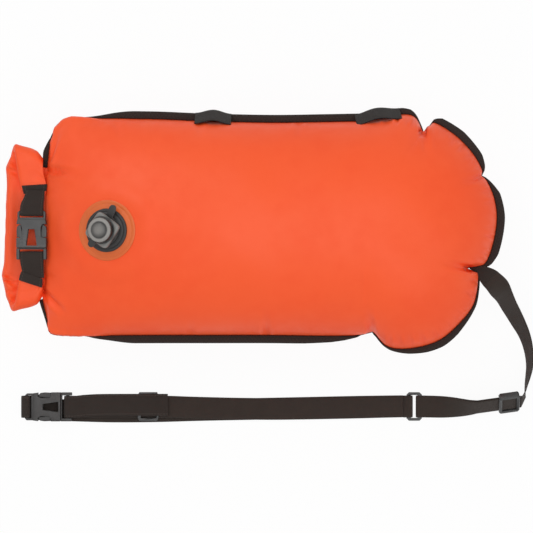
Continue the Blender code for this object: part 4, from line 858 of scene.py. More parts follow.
        last = count - 1
        for k in range(knots):
            for here, there in ((chain(k, k), chain(k + 1, k + 1)), (chain(last - k, k), chain(last - k - 1, k + 1))):
                faces += [(here[a], here[a + 1], there[a + 1], there[a]) for a in range(rings)]
        for k in range(knots, last - knots):
            here, there = chain(k, knots), chain(k + 1, knots)
            faces.append((here[0], here[1], there[1]))
            faces += [(here[a], here[a + 1], there[a + 1], there[a]) for a in range(1, rings)]
        mesh = bpy.data.meshes.new(name)
        mesh.from_pydata(co.tolist(), [], faces)
        self.agree(mesh, front)
        normals = np.zeros(len(co) * 3, np.float32)
        mesh.vertex_normals.foreach_get("vector", normals)
        normals = normals.reshape(-1, 3)
        normals[:, 0] *= np.clip((co[:, 0] - self.mouth_x - 0.003) / 0.012, 0, 1)
        moved = self.relief(co[:, 0], co[:, 1], np.concatenate(share_of), np.concatenate(run_of), front)
        co = co + normals * moved[:, None]
        rim = [v for v in chain(0, 0)[::-1] + chain(last, 0)[1:] if abs(co[v, 1]) < self.neck_half + 0.006]
        co, faces = self.neck(co, faces, rim, front)
        mesh.clear_geometry()
        mesh.from_pydata(co.tolist(), [], faces)
        self.agree(mesh, front)
        if not front:
            co[:, 2] = np.maximum(co[:, 2], 0)
        mesh.vertices.foreach_set("co", co.astype(np.float32).ravel())
        mesh.update()
        mesh.shade_smooth()
        made = link(name, mesh)
        skin = made.modifiers.new("skin", "SOLIDIFY")
        skin.thickness = self.wall * 0.8
        skin.offset = -1
        ORANGE.dress(made, node)
        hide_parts(node)
        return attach(made, ROOT_BODY)

    def neck(self, co: np.ndarray, faces: list, rim: list[int], front: bool) -> tuple[np.ndarray, list]:
        """Carry a panel's mouth edge on into the roll.

        Args:
            co: The panel's points.
            faces: Its faces.
            rim: Numbers of the points along the mouth.
            front: Whether it is the upper panel.

        Returns:
            The points and faces with the neck's rows added.
        """
        edge = co[rim]
        level = self.seam_z + self.neck_height * (1 if front else -1)
        wide = np.clip((self.neck_half + 0.003 - np.abs(edge[:, 1])) / 0.006, 0, 1)
        rows, before = [], list(rim)
        for k in range(1, 6):
            share = k / 5
            row = edge.copy()
            row[:, 0] += (self.neck_end - edge[:, 0]) * share * wide
            row[:, 2] += (level - edge[:, 2]) * share ** 1.6 * wide
            first = len(co) + len(rows) * len(edge)
            here = list(range(first, first + len(edge)))
            faces = faces + [(before[i], before[i + 1], here[i + 1], here[i]) for i in range(len(edge) - 1)]
            rows.append(row)
            before = here
        return np.concatenate([co, *rows]), faces

    def agree(self, mesh: bpy.types.Mesh, up: bool) -> None:
        """Turn all faces of a panel the same way, up or down."""
        flips = [face for face in mesh.polygons if (face.normal.z > 0) != up]
        for face in flips:
            face.flip()
        mesh.update()

    def tape(self) -> bpy.types.Object:
        """Webbing tape folded round the flange."""
        line = self.outline()
        inner = self.wall + GAP / 2 + GAP
        run = np.concatenate([[0], np.cumsum(np.linalg.norm(np.diff(line["seam"], axis=0), axis=1))])
        rings, flat = [], None
        for i, (point, outward, share) in enumerate(zip(line["seam"], line["outward"], line["flange"])):
            floor = self.flange * share + GAP
            start = min(self.tape_start, floor - 0.0010)
            reach = floor + self.tape_wall
            outer = inner + self.tape_wall
            wave = 0.00025 * math.sin(run[i] * 260) * share
            round_off = self.tape_wall * 0.45
            section = [
                (start, outer - round_off / 2), (start + round_off, outer),
                ((start + reach) / 2, outer + wave), (reach - round_off, outer), (reach, outer - round_off),
                (reach, -outer + round_off), (reach - round_off, -outer), ((start + reach) / 2, -outer - wave),
                (start + round_off, -outer), (start, -outer + round_off / 2),
                (start, -inner), (floor, -inner), (floor, inner), (start, inner),
            ]
            rings.append([(*(point + outward * o), self.seam_z + u) for o, u in section])
            flat = np.array([o - 0.005 for o, _ in section] + [section[0][0] - 0.005])
        made = grid_object("binding_tape", np.array(rings), run, flat)
        BINDING.dress(made, "seam_binding")
        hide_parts("seam_binding")
        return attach(made, ROOT_BODY)

    def grab_loop(self, name: str, node: str, share: float, length: float, inset: float) -> bpy.types.Object:
        """A webbing loop that leans on the bag above the tape."""
        seam = self.outline()["seam"][:self.side_steps + 36]
        x = self.mouth_x + share * self.length
        ends = [np.array([e, np.interp(e, seam[:, 0], seam[:, 1])]) for e in (x - length / 2, x + length / 2)]
        chord = (ends[1] - ends[0]) / np.linalg.norm(ends[1] - ends[0])
        outward = np.array([-chord[1], chord[0]])
        inside = seam[(seam[:, 0] > ends[0][0]) & (seam[:, 0] < ends[1][0])]
        bulge = max(0, float(((inside - ends[0]) @ outward).max()))
        out, along = Vector((*outward, 0)), Vector((*chord, 0))
        lean = math.radians(58)
        across = -math.cos(lean) * out + math.sin(lean) * UP
        off = math.sin(lean) * out + math.cos(lean) * UP
        outer = self.wall + GAP * 1.5 + self.tape_wall
        reach = self.flange + GAP + self.tape_wall - inset
        middle = Vector((*((ends[0] + ends[1]) / 2 + outward * bulge), self.seam_z)) + out * reach
        middle += off * (outer * math.cos(lean) + GAP + WEBBING_WALL / 2) + across * WEBBING_WIDTH / 2
        stations = []
        for k in range(33):
            span = k / 32
            rise = 0.0044 * math.sin(math.pi * span) ** 2 + 0.0004
            stations.append(Station(middle + along * length * (span - 0.5) + off * rise, across))
        made = Strap(name, stations, (node,), finish=GRAB_WEBBING).build()
        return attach(made, ROOT_BODY)

    def build(self) -> None:
        """Make every piece of the bag."""
        self.panel("front_fabric", "front_panel", True)
        self.panel("back_fabric", "back_panel", False)
        self.tape()
        self.grab_loop("left_grab_webbing", "left_grab_loop", 0.374, 0.040, 0.0026)
        self.grab_loop("right_grab_webbing", "right_grab_loop", 0.738, 0.050, 0.0042)
        LOG.info("bag: panels, tape and two loops")


@dataclass(frozen=True)
class RollRow:
    """One section of the roll: its height and place along it, and how far it belongs to a folded end."""

    side: int
    y: float
    z: float
    up: Vector
    flap: float
    slant: float


@dataclass
class Roll:
    """The rolled mouth with its folded ends, which lie a little askew."""

    width: float = 0.0475
    length: float = 0.185
    centre_y: float = 0.0039
    seam_z: float = 0.082
    sheet: float = 0.0018
    layer_gap: float = 0.00035
    core: float = 0.0016
    flap_gap: float = 0.001
    flap_spacing: float = 0.0988
    flap_shift: float = -0.0073
    right: float = -0.23175
    straight_steps: int = 110
    flap_steps: int = 20
    bend_steps: int = 16
    slant_reach: float = 0.035
    left_edge: tuple = (
        (-0.0900, -0.2690), (-0.0850, -0.2704), (-0.0805, -0.2738), (-0.0672, -0.2762), (-0.0530, -0.2782),
        (-0.0480, -0.2785), (-0.0355, -0.2768), (-0.0141, -0.2758), (0.0074, -0.2751), (0.0248, -0.2744),
        (0.0449, -0.2737), (0.0583, -0.2738), (0.0684, -0.2746), (0.0724, -0.2743), (0.0778, -0.2720),
        (0.0838, -0.2692), (0.0885, -0.2685), (0.0970, -0.2668),
    )
    flap_left: tuple = (
        (-0.0900, -0.2652), (-0.0700, -0.2612), (-0.0560, -0.2590), (-0.0400, -0.2585),
        (0.0400, -0.2560), (0.0496, -0.2566), (0.0646, -0.2598), (0.0800, -0.2622), (0.0970, -0.2645),
    )
    flap_right: tuple = (
        (-0.0900, -0.2318), (-0.0760, -0.2318), (-0.0650, -0.2314), (-0.0560, -0.2306), (-0.0400, -0.2306),
        (0.0400, -0.2298), (0.0480, -0.2284), (0.0590, -0.2274), (0.0660, -0.2279), (0.0740, -0.2295),
        (0.0800, -0.2309), (0.0970, -0.2318),
    )
    upper_slant: tuple = (
        (-0.2700, 0.0006), (-0.2660, 0.0000), (-0.2610, 0.0004), (-0.2530, 0.0030), (-0.2462, 0.0047),
        (-0.2408, 0.0068), (-0.2362, 0.0097), (-0.2332, 0.0134), (-0.2308, 0.0172), (-0.2280, 0.0200),
    )
    lower_slant: tuple = (
        (-0.2741, 0.0070), (-0.2705, 0.0046), (-0.2685, 0.0012), (-0.2656, 0.0000), (-0.2551, 0.0030),
        (-0.2444, 0.0056), (-0.2381, 0.0086), (-0.2353, 0.0134), (-0.2338, 0.0168), (-0.2300, 0.0190),
    )
    creases: tuple = (
        Crease((-0.2755, 0.0702), (-0.2590, 0.0628), 0.0026, 0.0034),
        Crease((-0.2690, 0.0860), (-0.2590, 0.0640), 0.0030, 0.0010, True),
        Crease((-0.2780, -0.0500), (-0.2630, -0.0530), 0.0019, 0.0028),
        Crease((-0.2740, -0.0570), (-0.2590, -0.0575), 0.0019, 0.0027),
        Crease((-0.2755, -0.0735), (-0.2610, -0.0640), 0.0026, 0.0032),
        Crease((-0.2660, -0.0860), (-0.2590, -0.0600), 0.0032, 0.0010, True),
        Crease((-0.2330, 0.0700), (-0.2500, 0.0560), 0.0040, 0.0009),
        Crease((-0.2340, -0.0700), (-0.2480, -0.0790), 0.0034, 0.0009),
    )
    puff: float = 0.0022
    flap_puff: float = 0.0007
    stiffener_share: float = 0.62
    stiffener_wall: float = 0.0014

    @property
    def pitch(self) -> float:
        """Distance between layers of the roll."""
        return self.sheet + self.layer_gap

    @property
    def outside(self) -> float:
        """From the roll's middle to its outer face."""
        return self.core + 1.5 * self.pitch + self.sheet / 2

    @property
    def radius(self) -> float:
        """Radius of the fold at each end."""
        return self.core + self.pitch + self.sheet / 2 + self.flap_gap / 2

    @property
    def top(self) -> float:
        """Height of the folded ends' upper face."""
        return self.seam_z + 2 * self.radius + self.outside

    def flap_end(self, side: int) -> float:
        """How far from the roll's middle a folded end comes back to."""
        return self.flap_spacing / 2 + side * self.flap_shift

    def section(self) -> np.ndarray:
        """Outline of fabric wound flat for a turn and a half."""
        half = self.width / 2 - self.outside
        flats = np.linspace(-0.86, 0.86, 17)
        path = [(half * share, self.core) for share in (1, 0.5, 0, -0.5)]
        for turn in range(3):
            side = -1 if turn % 2 == 0 else 1
            start = self.core + turn * self.pitch / 2
            for k in range(13):
                radius = start + k / 12 * self.pitch / 2
                angle = math.pi / 2 + math.pi * (turn + k / 12)
                path.append((side * half + radius * math.cos(angle), radius * math.sin(angle)))
            y = path[-1][1]
            path += [(-side * half * share, y) for share in flats] if turn < 2 else []
        path += [(half * share, path[-1][1]) for share in flats] + [(self.width / 2, path[-1][1])]
        line = np.array(path)
        ahead = np.gradient(line, axis=0)
        ahead /= np.linalg.norm(ahead, axis=1, keepdims=True)
        side = np.column_stack([-ahead[:, 1], ahead[:, 0]]) * self.sheet / 2
        return np.concatenate([line + side, (line - side)[::-1]])

    def rows(self) -> list[RollRow]:
        """Sections along the roll, from one folded end to the other."""
        bend = self.length / 2 - self.radius - self.outside
        halves = []
        for side in (1, -1):
            part = []
            end = self.flap_end(side)
            for k in range(self.flap_steps):
                share = k / self.flap_steps
                y = end + (bend - end) * share
                part.append(RollRow(side, y, 2 * self.radius, -UP, 1.0, 0.35 + 0.65 * share))
            for k in range(self.bend_steps + 1):
                share = k / self.bend_steps
                angle = math.pi / 2 - math.pi * share
                up = Vector((0, -side * math.cos(angle), -math.sin(angle)))
                y = bend + self.radius * math.cos(angle)
                part.append(RollRow(side, y, self.radius * (1 + math.sin(angle)), up, 1 - smoothstep(0, 1, share), 1.0))
            for k in range(1, self.straight_steps // 2 + 1):
                share = k / (self.straight_steps // 2)
                slant = 1 - smoothstep(0, self.slant_reach, bend * share)
                part.append(RollRow(side, bend * (1 - share), 0.0, UP.copy(), 0.0, slant))
            halves.append(part)
        return halves[0] + halves[1][-2::-1]

    def table(self, keys: tuple, value: float) -> float:
        """The smooth table's value."""
        if keys not in self.tables:
            self.tables[keys] = curve_through(list(keys), 8)
        fine = self.tables[keys]
        return float(np.interp(value, fine[:, 0], fine[:, 1]))

    def place(self, row: RollRow, share: float, v: float) -> Vector:
        """A point of the roll from its row, its share across and its height in the section."""
        y = self.centre_y + row.side * row.y
        left = row.flap * self.table(self.flap_left, y) + (1 - row.flap) * self.table(self.left_edge, y)
        right = row.flap * self.table(self.flap_right, y) + (1 - row.flap) * self.right
        x = left + share * (right - left)
        outer = min(1.0, abs(v) / (0.8 * self.outside)) ** 4
        along = row.y - self.flap_end(row.side)
        if row.flap > 0.5:
            fullness = self.flap_puff * math.sin(math.pi * min(max(share, 0), 1)) * smoothstep(0.006, 0.022, along)
            fullness *= outer if v < 0 else 0
        else:
            fullness = self.puff * math.exp(-(((share - 0.14) / 0.13) ** 2)) * (outer if v > 0 else outer * 0.3)
            fullness *= 1 - row.flap
        spot = Vector((x, y, self.seam_z + row.z))
        facing = row.up * math.copysign(1, v)
        crumple = noise.noise_vector(spot * 46.0) * 0.0010 + noise.noise_vector(spot * 120.0) * 0.0004
        if facing.z > 0.5 and outer > 0.3:
            fullness += sum(float(c.relief(np.array(x), np.array(y))) for c in self.creases) * outer
            fullness += crumple.z * (0.8 if along > 0.016 or row.flap < 0.5 and share < 0.25 else 0.15)
        spot += row.up * v + facing * fullness
        slant = self.upper_slant if row.side > 0 else self.lower_slant
        spot.y -= row.side * self.table(slant, x) * row.slant
        spot.x += crumple.x * min(1.0, max(0.0, (self.right - x) / 0.006)) * (1 - row.flap)
        if spot.x > self.right and spot.z < self.seam_z + 2 * self.radius:
            spot.z = max(spot.z, self.seam_z + 2 * self.radius)
        return spot

    def build(self) -> None:
        """Make the rolled fabric with soft crumples, and dress the stiffener inside it."""
        self.tables = {}
        section = self.section()
        flat = np.concatenate([[0], np.cumsum(np.linalg.norm(np.diff(section, axis=0), axis=1)), [0]])
        rows = self.rows()
        rings = [[tuple(self.place(row, x / self.width + 0.5, v)) for x, v in section] for row in rows]
        steps = [math.hypot(b.side * b.y - a.side * a.y, b.z - a.z) for a, b in zip(rows, rows[1:])]
        made = grid_object("rolled_fabric", np.array(rings), np.concatenate([[0], np.cumsum(steps)]), flat)
        made.data.set_sharp_from_angle(angle=math.radians(50))
        ORANGE.dress(made, "rolled_mouth")
        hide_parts("rolled_mouth")
        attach(made, ROOT_BODY)
        half, inner = self.stiffener_wall / 2, rows[1:-1]
        shares = np.linspace(0.5 - self.stiffener_share / 2, 0.5 + self.stiffener_share / 2, 9)
        around = [(share, half) for share in shares] + [(share, -half) for share in shares[::-1]]
        rings = [[tuple(self.place(row, share, v)) for share, v in around] for row in inner]
        flat = np.concatenate([shares, shares[::-1] + 1, [2.5]]) * self.width
        strip = grid_object("mouth_stiffener_strip", np.array(rings), np.concatenate([[0], np.cumsum(steps[1:-1])]), flat)
        strip.data.set_sharp_from_angle(angle=math.radians(50))
        STIFFENER.dress(strip, "mouth_stiffener")
        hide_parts("mouth_stiffener")
        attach(strip, ROOT_BODY)
        LOG.info("rolled mouth and its stiffener")


# ---- buckles and their webbing ----------------------------------------------


@dataclass
class Buckle:
    """A side-release buckle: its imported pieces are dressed, its webbing loops are made."""

    mouth: Vector
    turned: bool
    nodes: tuple[str, ...]
    socket_body: str
    socket_length: float = 0.041
    bar: float = 0.0036
    bar_half: float = 0.0016
    turn_shift: float = 0.0011
    plug_lip: float = 0.0016
    plug_slot: float = 0.0046
    plastic: Finish = PLASTIC

    @property
    def turn(self) -> float:
        """Radius of the webbing's middle round a bar."""
        return self.bar_half + GAP + WEBBING_WALL / 2

    @property
    def place(self) -> Matrix:
        """The buckle's frame: x across it, y towards the socket's bar, z up."""
        spin = Matrix.Rotation(math.radians(90), 4, "Z") if self.turned else Matrix.Identity(4)
        return Matrix.Translation(self.mouth) @ spin

    def loop(self, name: str, node: str, path: list[tuple[float, float]], body: str) -> bpy.types.Object:
        """Webbing along a path of (y, z) points in the buckle's frame."""
        turn = self.place.to_3x3()
        stations = [Station(self.place @ Vector((0, y, z)), turn @ ACROSS_X) for y, z in path]
        made = Strap(name, stations, (node,), finish=SEWN_WEBBING).build()
        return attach(made, body)

    def dress(self, nodes: dict[str, bpy.types.Object]) -> None:
        """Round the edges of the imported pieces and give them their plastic."""
        for name in self.nodes:
            soften(nodes[name], 0.00035)
            self.plastic.repaint(nodes[name])


def soften(node: bpy.types.Object, width: float, segments: int = 2) -> None:
    """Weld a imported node's split corners and round its edges with modifiers."""
    weld = node.modifiers.new("weld", "WELD")
    weld.merge_threshold = 0.000002
    bevel = node.modifiers.new("round", "BEVEL")
    bevel.width = width
    bevel.segments = segments
    bevel.limit_method = "ANGLE"
    bevel.angle_limit = math.radians(28)
    bevel.harden_normals = False
    node.data.shade_smooth()
    node.data.set_sharp_from_angle(angle=math.radians(60))


@dataclass
class RollBuckle(Buckle):
    """The buckle that joins the folded ends, with the tabs that its webbing is sewn to."""

    flap_ends: tuple[float, float] = (0.0, 0.0)
    tab_length: float = 0.013
    tab_wall: float = 0.0012
    tab_z: float = 0.0
    upper_tab: tuple = (
        (-0.2396, 0.0425, 0.0252, 8.0, 0.0), (-0.2399, 0.0465, 0.0268, 6.0, 0.0),
        (-0.2401, 0.0488, 0.0276, 5.0, 0.0001), (-0.2402, 0.0508, 0.0280, 3.5, 0.0002),
    )
    lower_tab: tuple = (
        (-0.2424, -0.0484, 0.0249, -19.5, 0.0043), (-0.2434, -0.0530, 0.0262, -19.0, 0.0042),
        (-0.2441, -0.0556, 0.0266, -18.5, 0.0028), (-0.2446, -0.0578, 0.0268, -18.0, 0.0004),
    )
    upper_lean: tuple = (0.0034, 0.0022)
    lower_lean: tuple = (0.0014, 0.0009)

    def tabs(self) -> None:
        """The webbing tabs on the folded ends, each a little askew."""
        for keys, word in ((self.upper_tab, "upper"), (self.lower_tab, "lower")):
            stations = []
            for x, y, width, tilt, lift in curve_through(list(keys), 5):
                across = Vector((math.cos(math.radians(tilt)), math.sin(math.radians(tilt)), 0))
                stations.append(Station(Vector((x, y, self.tab_z + lift)), across, width))
            made = Strap("roll_%s_tab_webbing" % word, stations, ("roll_%s_tab" % word,), self.tab_wall, SEWN_WEBBING).build()
            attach(made, ROOT_BODY)

    def leaning(self, made: bpy.types.Object, bar: float, end: float, lean: tuple[float, float]) -> None:
        """Draw a loop's sewn end to one side and narrower, as the tab holds it."""
        for vertex in made.data.vertices:
            near = self.place.inverted() @ vertex.co
            share = smoothstep(0.2, 1.0, (near.y - bar) / (end - bar))
            near.x = near.x * (1 - lean[1] * share / 0.0125) + lean[0] * share
            vertex.co = self.place @ near

    def build(self, nodes: dict[str, bpy.types.Object]) -> None:
        """Make the tabs and loops and dress the plastic."""
        self.tabs()
        low = self.tab_z + self.tab_wall / 2 + GAP + WEBBING_WALL / 2 - self.mouth.z
        high = low + GAP + WEBBING_WALL
        for name, node, side, bar, body in (
            ("roll_socket_webbing", "roll_socket_loop", 1, self.socket_length - self.bar / 2, self.socket_body),
            ("roll_plug_webbing", "roll_plug_loop", -1, -self.plug_lip - self.plug_slot - self.bar / 2, ROOT_BODY),
        ):
            end = self.flap_ends[side < 0] - side * self.tab_length * 0.1 - self.mouth.y
            ease = (end - bar) / 3
            near = bar + side * self.bar
            upper = [(end, high), (end - ease, high), (bar + ease, self.turn * 0.55), (near, self.turn)]
            lower = [(near, -self.turn), (bar + ease, low), (end - ease, low), (end, low)]
            around = arc((bar - side * self.turn_shift, 0), self.turn, 90, 90 + 180 * side, 14)
            path = [tuple(p) for p in curve_through(upper, 6)] + around + [tuple(p) for p in curve_through(lower, 6)]
            made = self.loop(name, node, path, body)
            self.leaning(made, bar, end, self.upper_lean if side > 0 else self.lower_lean)
        self.dress(nodes)
        LOG.info("roll buckle")


@dataclass
class BeltBuckle(Buckle):
    """The belt's buckle with the returned end of the belt."""

    tail_z: float = 0.009
    front_z: float = 0.005
    tail_layer: float = 0.0027
    front_end: float = -0.1973
    plastic: Finish = BELT_PLASTIC

    def build(self, nodes: dict[str, bpy.types.Object]) -> None:
        """Make both loops and dress the plastic."""
        bar = -self.plug_lip - self.plug_slot - self.bar / 2
        keys = [(-0.0982, 1.0), (-0.110, 1.0), (-0.121, 1.0), (-0.150, 1.0), (-0.178, 0.9), (-0.195, 0.5)]
        tail = [(x, self.mouth.y + 0.0024 * s, self.tail_z) for x, s in keys]
        local = [(bar - 2 * self.bar, self.turn)] + arc((bar + self.turn_shift, 0), self.turn, 90, -90, 14)
        local += [(bar - self.bar, -self.turn)]
        around = [tuple(self.place @ Vector((0, y, z))) for y, z in local]
        stations = lay_flat(tail, 8) + [Station(Vector(p), ACROSS_Y) for p in around]
        stations.append(Station(Vector((self.front_end, self.mouth.y, self.front_z)), ACROSS_Y))
        made = Strap("belt_plug_webbing", stations, ("belt_plug_loop",), finish=SEWN_WEBBING).build()
        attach(made, ROOT_BODY)
        bar = self.socket_length - self.bar / 2
        outer = (self.mouth.z + self.turn - self.tail_layer) / 2
        path = [(0.002 + (bar / 2 - 0.002) * k / 6, self.tail_layer - self.mouth.z) for k in range(7)]
        path += arc((bar + self.bar / 2, self.tail_layer + outer - self.mouth.z), outer, -90, 90, 14)
        path += arc((bar - self.turn_shift, 0), self.turn, 90, 270, 14)
        path += [(bar + self.bar / 2, -self.turn)]
        self.loop("belt_socket_webbing", "belt_socket_loop", path, self.socket_body)
        self.dress(nodes)
        LOG.info("belt buckle")


# ---- belt and leash ---------------------------------------------------------


@dataclass
class Belt:
    """The waist belt's two lengths, its slider and the loop on the ring."""

    y: float = -0.200
    ring_x: float = 0.1849
    ring_z: float = 0.003
    ring_hole: float = 0.0037
    ring_turn: float = 0.002
    back: tuple = (
        (0.172, -0.1998), (0.140, -0.2002), (0.105, -0.2008), (0.050, -0.2020), (0.000, -0.2030),
        (-0.060, -0.2042), (-0.110, -0.2056), (-0.160, -0.2060), (-0.200, -0.2050), (-0.240, -0.2036),
        (-0.262, -0.2030),
    )
    front: tuple = (
        (0.172, -0.1998, 0.0050), (0.150, -0.2003, 0.0048), (0.120, -0.2012, 0.0036),
        (0.085, -0.2020, 0.0028), (0.053, -0.2026, 0.0027), (0.019, -0.2029, 0.0027),
        (-0.020, -0.2025, 0.0027), (-0.050, -0.2018, 0.0030), (-0.075, -0.2010, 0.0041),
        (-0.095, -0.2002, 0.0050), (-0.121, -0.2000, 0.0050), (-0.150, -0.2000, 0.0050),
        (-0.180, -0.2000, 0.0050), (-0.197, -0.2000, 0.0050),
    )

    def build(self, nodes: dict[str, bpy.types.Object]) -> tuple[bpy.types.Object, bpy.types.Object]:
        """Make the belt's lengths and its loop on the ring, and dress the slider and ring.

        Returns:
            The front and the back length.
        """
        front = Strap("belt_front_webbing", lay_flat(list(self.front), 7), ("belt_front_run",))
        back = Strap("belt_back_webbing", lay_flat([(x, y, 0.001) for x, y in self.back], 7), ("belt_back_run",))
        front_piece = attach(front.build(), ROOT_BODY)
        back_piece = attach(back.build(), ROOT_BODY)
        start = 0.1723 - self.ring_x
        path = [(start, self.ring_turn)] + arc((-self.ring_hole - self.ring_turn * 0.3, 0), self.ring_turn, 90, -90, 16)
        path += [(start, -self.ring_turn)]
        stations = [Station(Vector((self.ring_x + u, self.y, self.ring_z + v)), ACROSS_Y) for u, v in path]
        loop = Strap("belt_ring_webbing", stations, ("belt_ring_loop",)).build()
        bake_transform(loop)
        for name in ("belt_slider", "leash_ring"):
            soften(nodes[name], 0.0003)
            PLASTIC.repaint(nodes[name])
        LOG.info("belt")
        return front_piece, back_piece


@dataclass
class Leash:
    """The leash from the notch in the bag's end to the ring."""

    root: tuple = (
        (0.2400, -0.0408, 0.0858, 0.0016), (0.2440, -0.0418, 0.0858, 0.0050), (0.2475, -0.0432, 0.0858, 0.0095),
        (0.2513, -0.0448, 0.0858, 0.0135), (0.2553, -0.0468, 0.0858, 0.0172), (0.2590, -0.0494, 0.0858, 0.0202),
        (0.26278, -0.05231, 0.0858, 0.0225),
    )
    run: tuple = (
        (0.26302, -0.05252, 0.0858, 0), (0.2692, -0.0587, 0.0853, 4), (0.2752, -0.0657, 0.0800, 26),
        (0.2808, -0.0730, 0.0690, 42), (0.2872, -0.0825, 0.0545, 48), (0.2940, -0.0920, 0.0415, 52),
        (0.3012, -0.1030, 0.0305, 57), (0.3080, -0.1145, 0.0220, 64), (0.3130, -0.1270, 0.0160, 70),
        (0.3158, -0.1400, 0.0133, 75), (0.3163, -0.1530, 0.0130, 80), (0.3146, -0.1640, 0.0131, 85),
        (0.3124, -0.1740, 0.0137, 91), (0.3108, -0.1825, 0.0147, 98), (0.3092, -0.1882, 0.0156, 108),
    )
    doubled_start: tuple = (0.3062, -0.1934, 0.0162)
    doubled_bend: tuple = (0.2560, -0.2004, 0.0160)
    doubled_roll: float = 126
    doubled: tuple = (
        (0.2560, -0.2004, 0.0160, 126), (0.2470, -0.2012, 0.0144, 134), (0.2370, -0.2012, 0.0121, 145),
        (0.2260, -0.2008, 0.0092, 158), (0.2150, -0.2004, 0.0066, 171), (0.2060, -0.2001, 0.0052, 180),
        (0.1960, -0.2000, 0.0050, 180),
    )
    tail_start: float = 0.0022
    slider_at: float = 0.0140
    steps: int = 6

    def build(self, nodes: dict[str, bpy.types.Object], ring: Belt) -> bpy.types.Object:
        """Make the leash's root, run and doubled end, and dress its slider.

        Returns:
            The leash's long run.
        """
        root = []
        rows = curve_through(list(self.root), 4)
        for i, row in enumerate(rows):
            ahead = Vector(rows[min(i + 1, len(rows) - 1)][:3] - rows[max(i - 1, 0)][:3])
            root.append(Station(Vector(row[:3]), leash_across(ahead, 0), row[3]))
        line = rolled(list(self.run), self.steps)
        for k, station in enumerate(line[:self.steps * 2]):
            station.width += (self.root[-1][3] - WEBBING_WIDTH) * (1 - smoothstep(0, self.steps * 2, k))
        for k, share in enumerate((0.25, 0.6, 1.0), -3):
            root[k].across = root[k].across.lerp(line[0].across, share)
        root[-1].centre = line[0].centre.lerp(root[-2].centre, 0.02)
        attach(Strap("leash_root_webbing", root, ("leash_root",), finish=SEWN_WEBBING).build(), ROOT_BODY)

        start, bend = Vector(self.doubled_start), Vector(self.doubled_bend)
        along = (bend - start).normalized()
        across = leash_across(along, self.doubled_roll)
        across = (across - along * across.dot(along)).normalized()
        split = start + along * self.tail_start / 2
        run = Strap("leash_webbing", line + [Station(start, across), Station(split, across)], ("leash_run",))
        run_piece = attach(run.build(), ROOT_BODY)

        base = [Station(split + along * GAP, across), Station(start + along * self.tail_start, across)]
        base += [Station(start.lerp(bend, k / 6), across) for k in range(1, 6)]
        base += rolled(list(self.doubled), self.steps)
        spacing = WEBBING_WALL + GAP
        below = []
        for i, station in enumerate(base):
            before, after = base[max(i - 1, 0)].centre, base[min(i + 1, len(base) - 1)].centre
            down = (after - before).cross(station.across).normalized()
            left = (station.centre - base[-1].centre).length
            away = 2 * ring.ring_turn + (spacing - 2 * ring.ring_turn) * smoothstep(0, self.slider_at, left)
            below.append(Station(station.centre + down * away, station.across))
        middle = (ring.ring_hole + ring.ring_turn / 3, 0)
        turn = [
            Station(Vector((ring.ring_x + u, ring.y, ring.ring_z + v)), ACROSS_Y)
            for u, v in arc(middle, ring.ring_turn, 90, 270, 16)
        ]
        end = Strap("leash_doubled_webbing", base + turn + below[:0:-1], ("leash_doubled_end",)).build()
        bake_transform(end)
        soften(nodes["leash_slider"], 0.0003)
        PLASTIC.repaint(nodes["leash_slider"])
        LOG.info("leash")
        return run_piece


# ---- valve --------------------------------------------------------------------


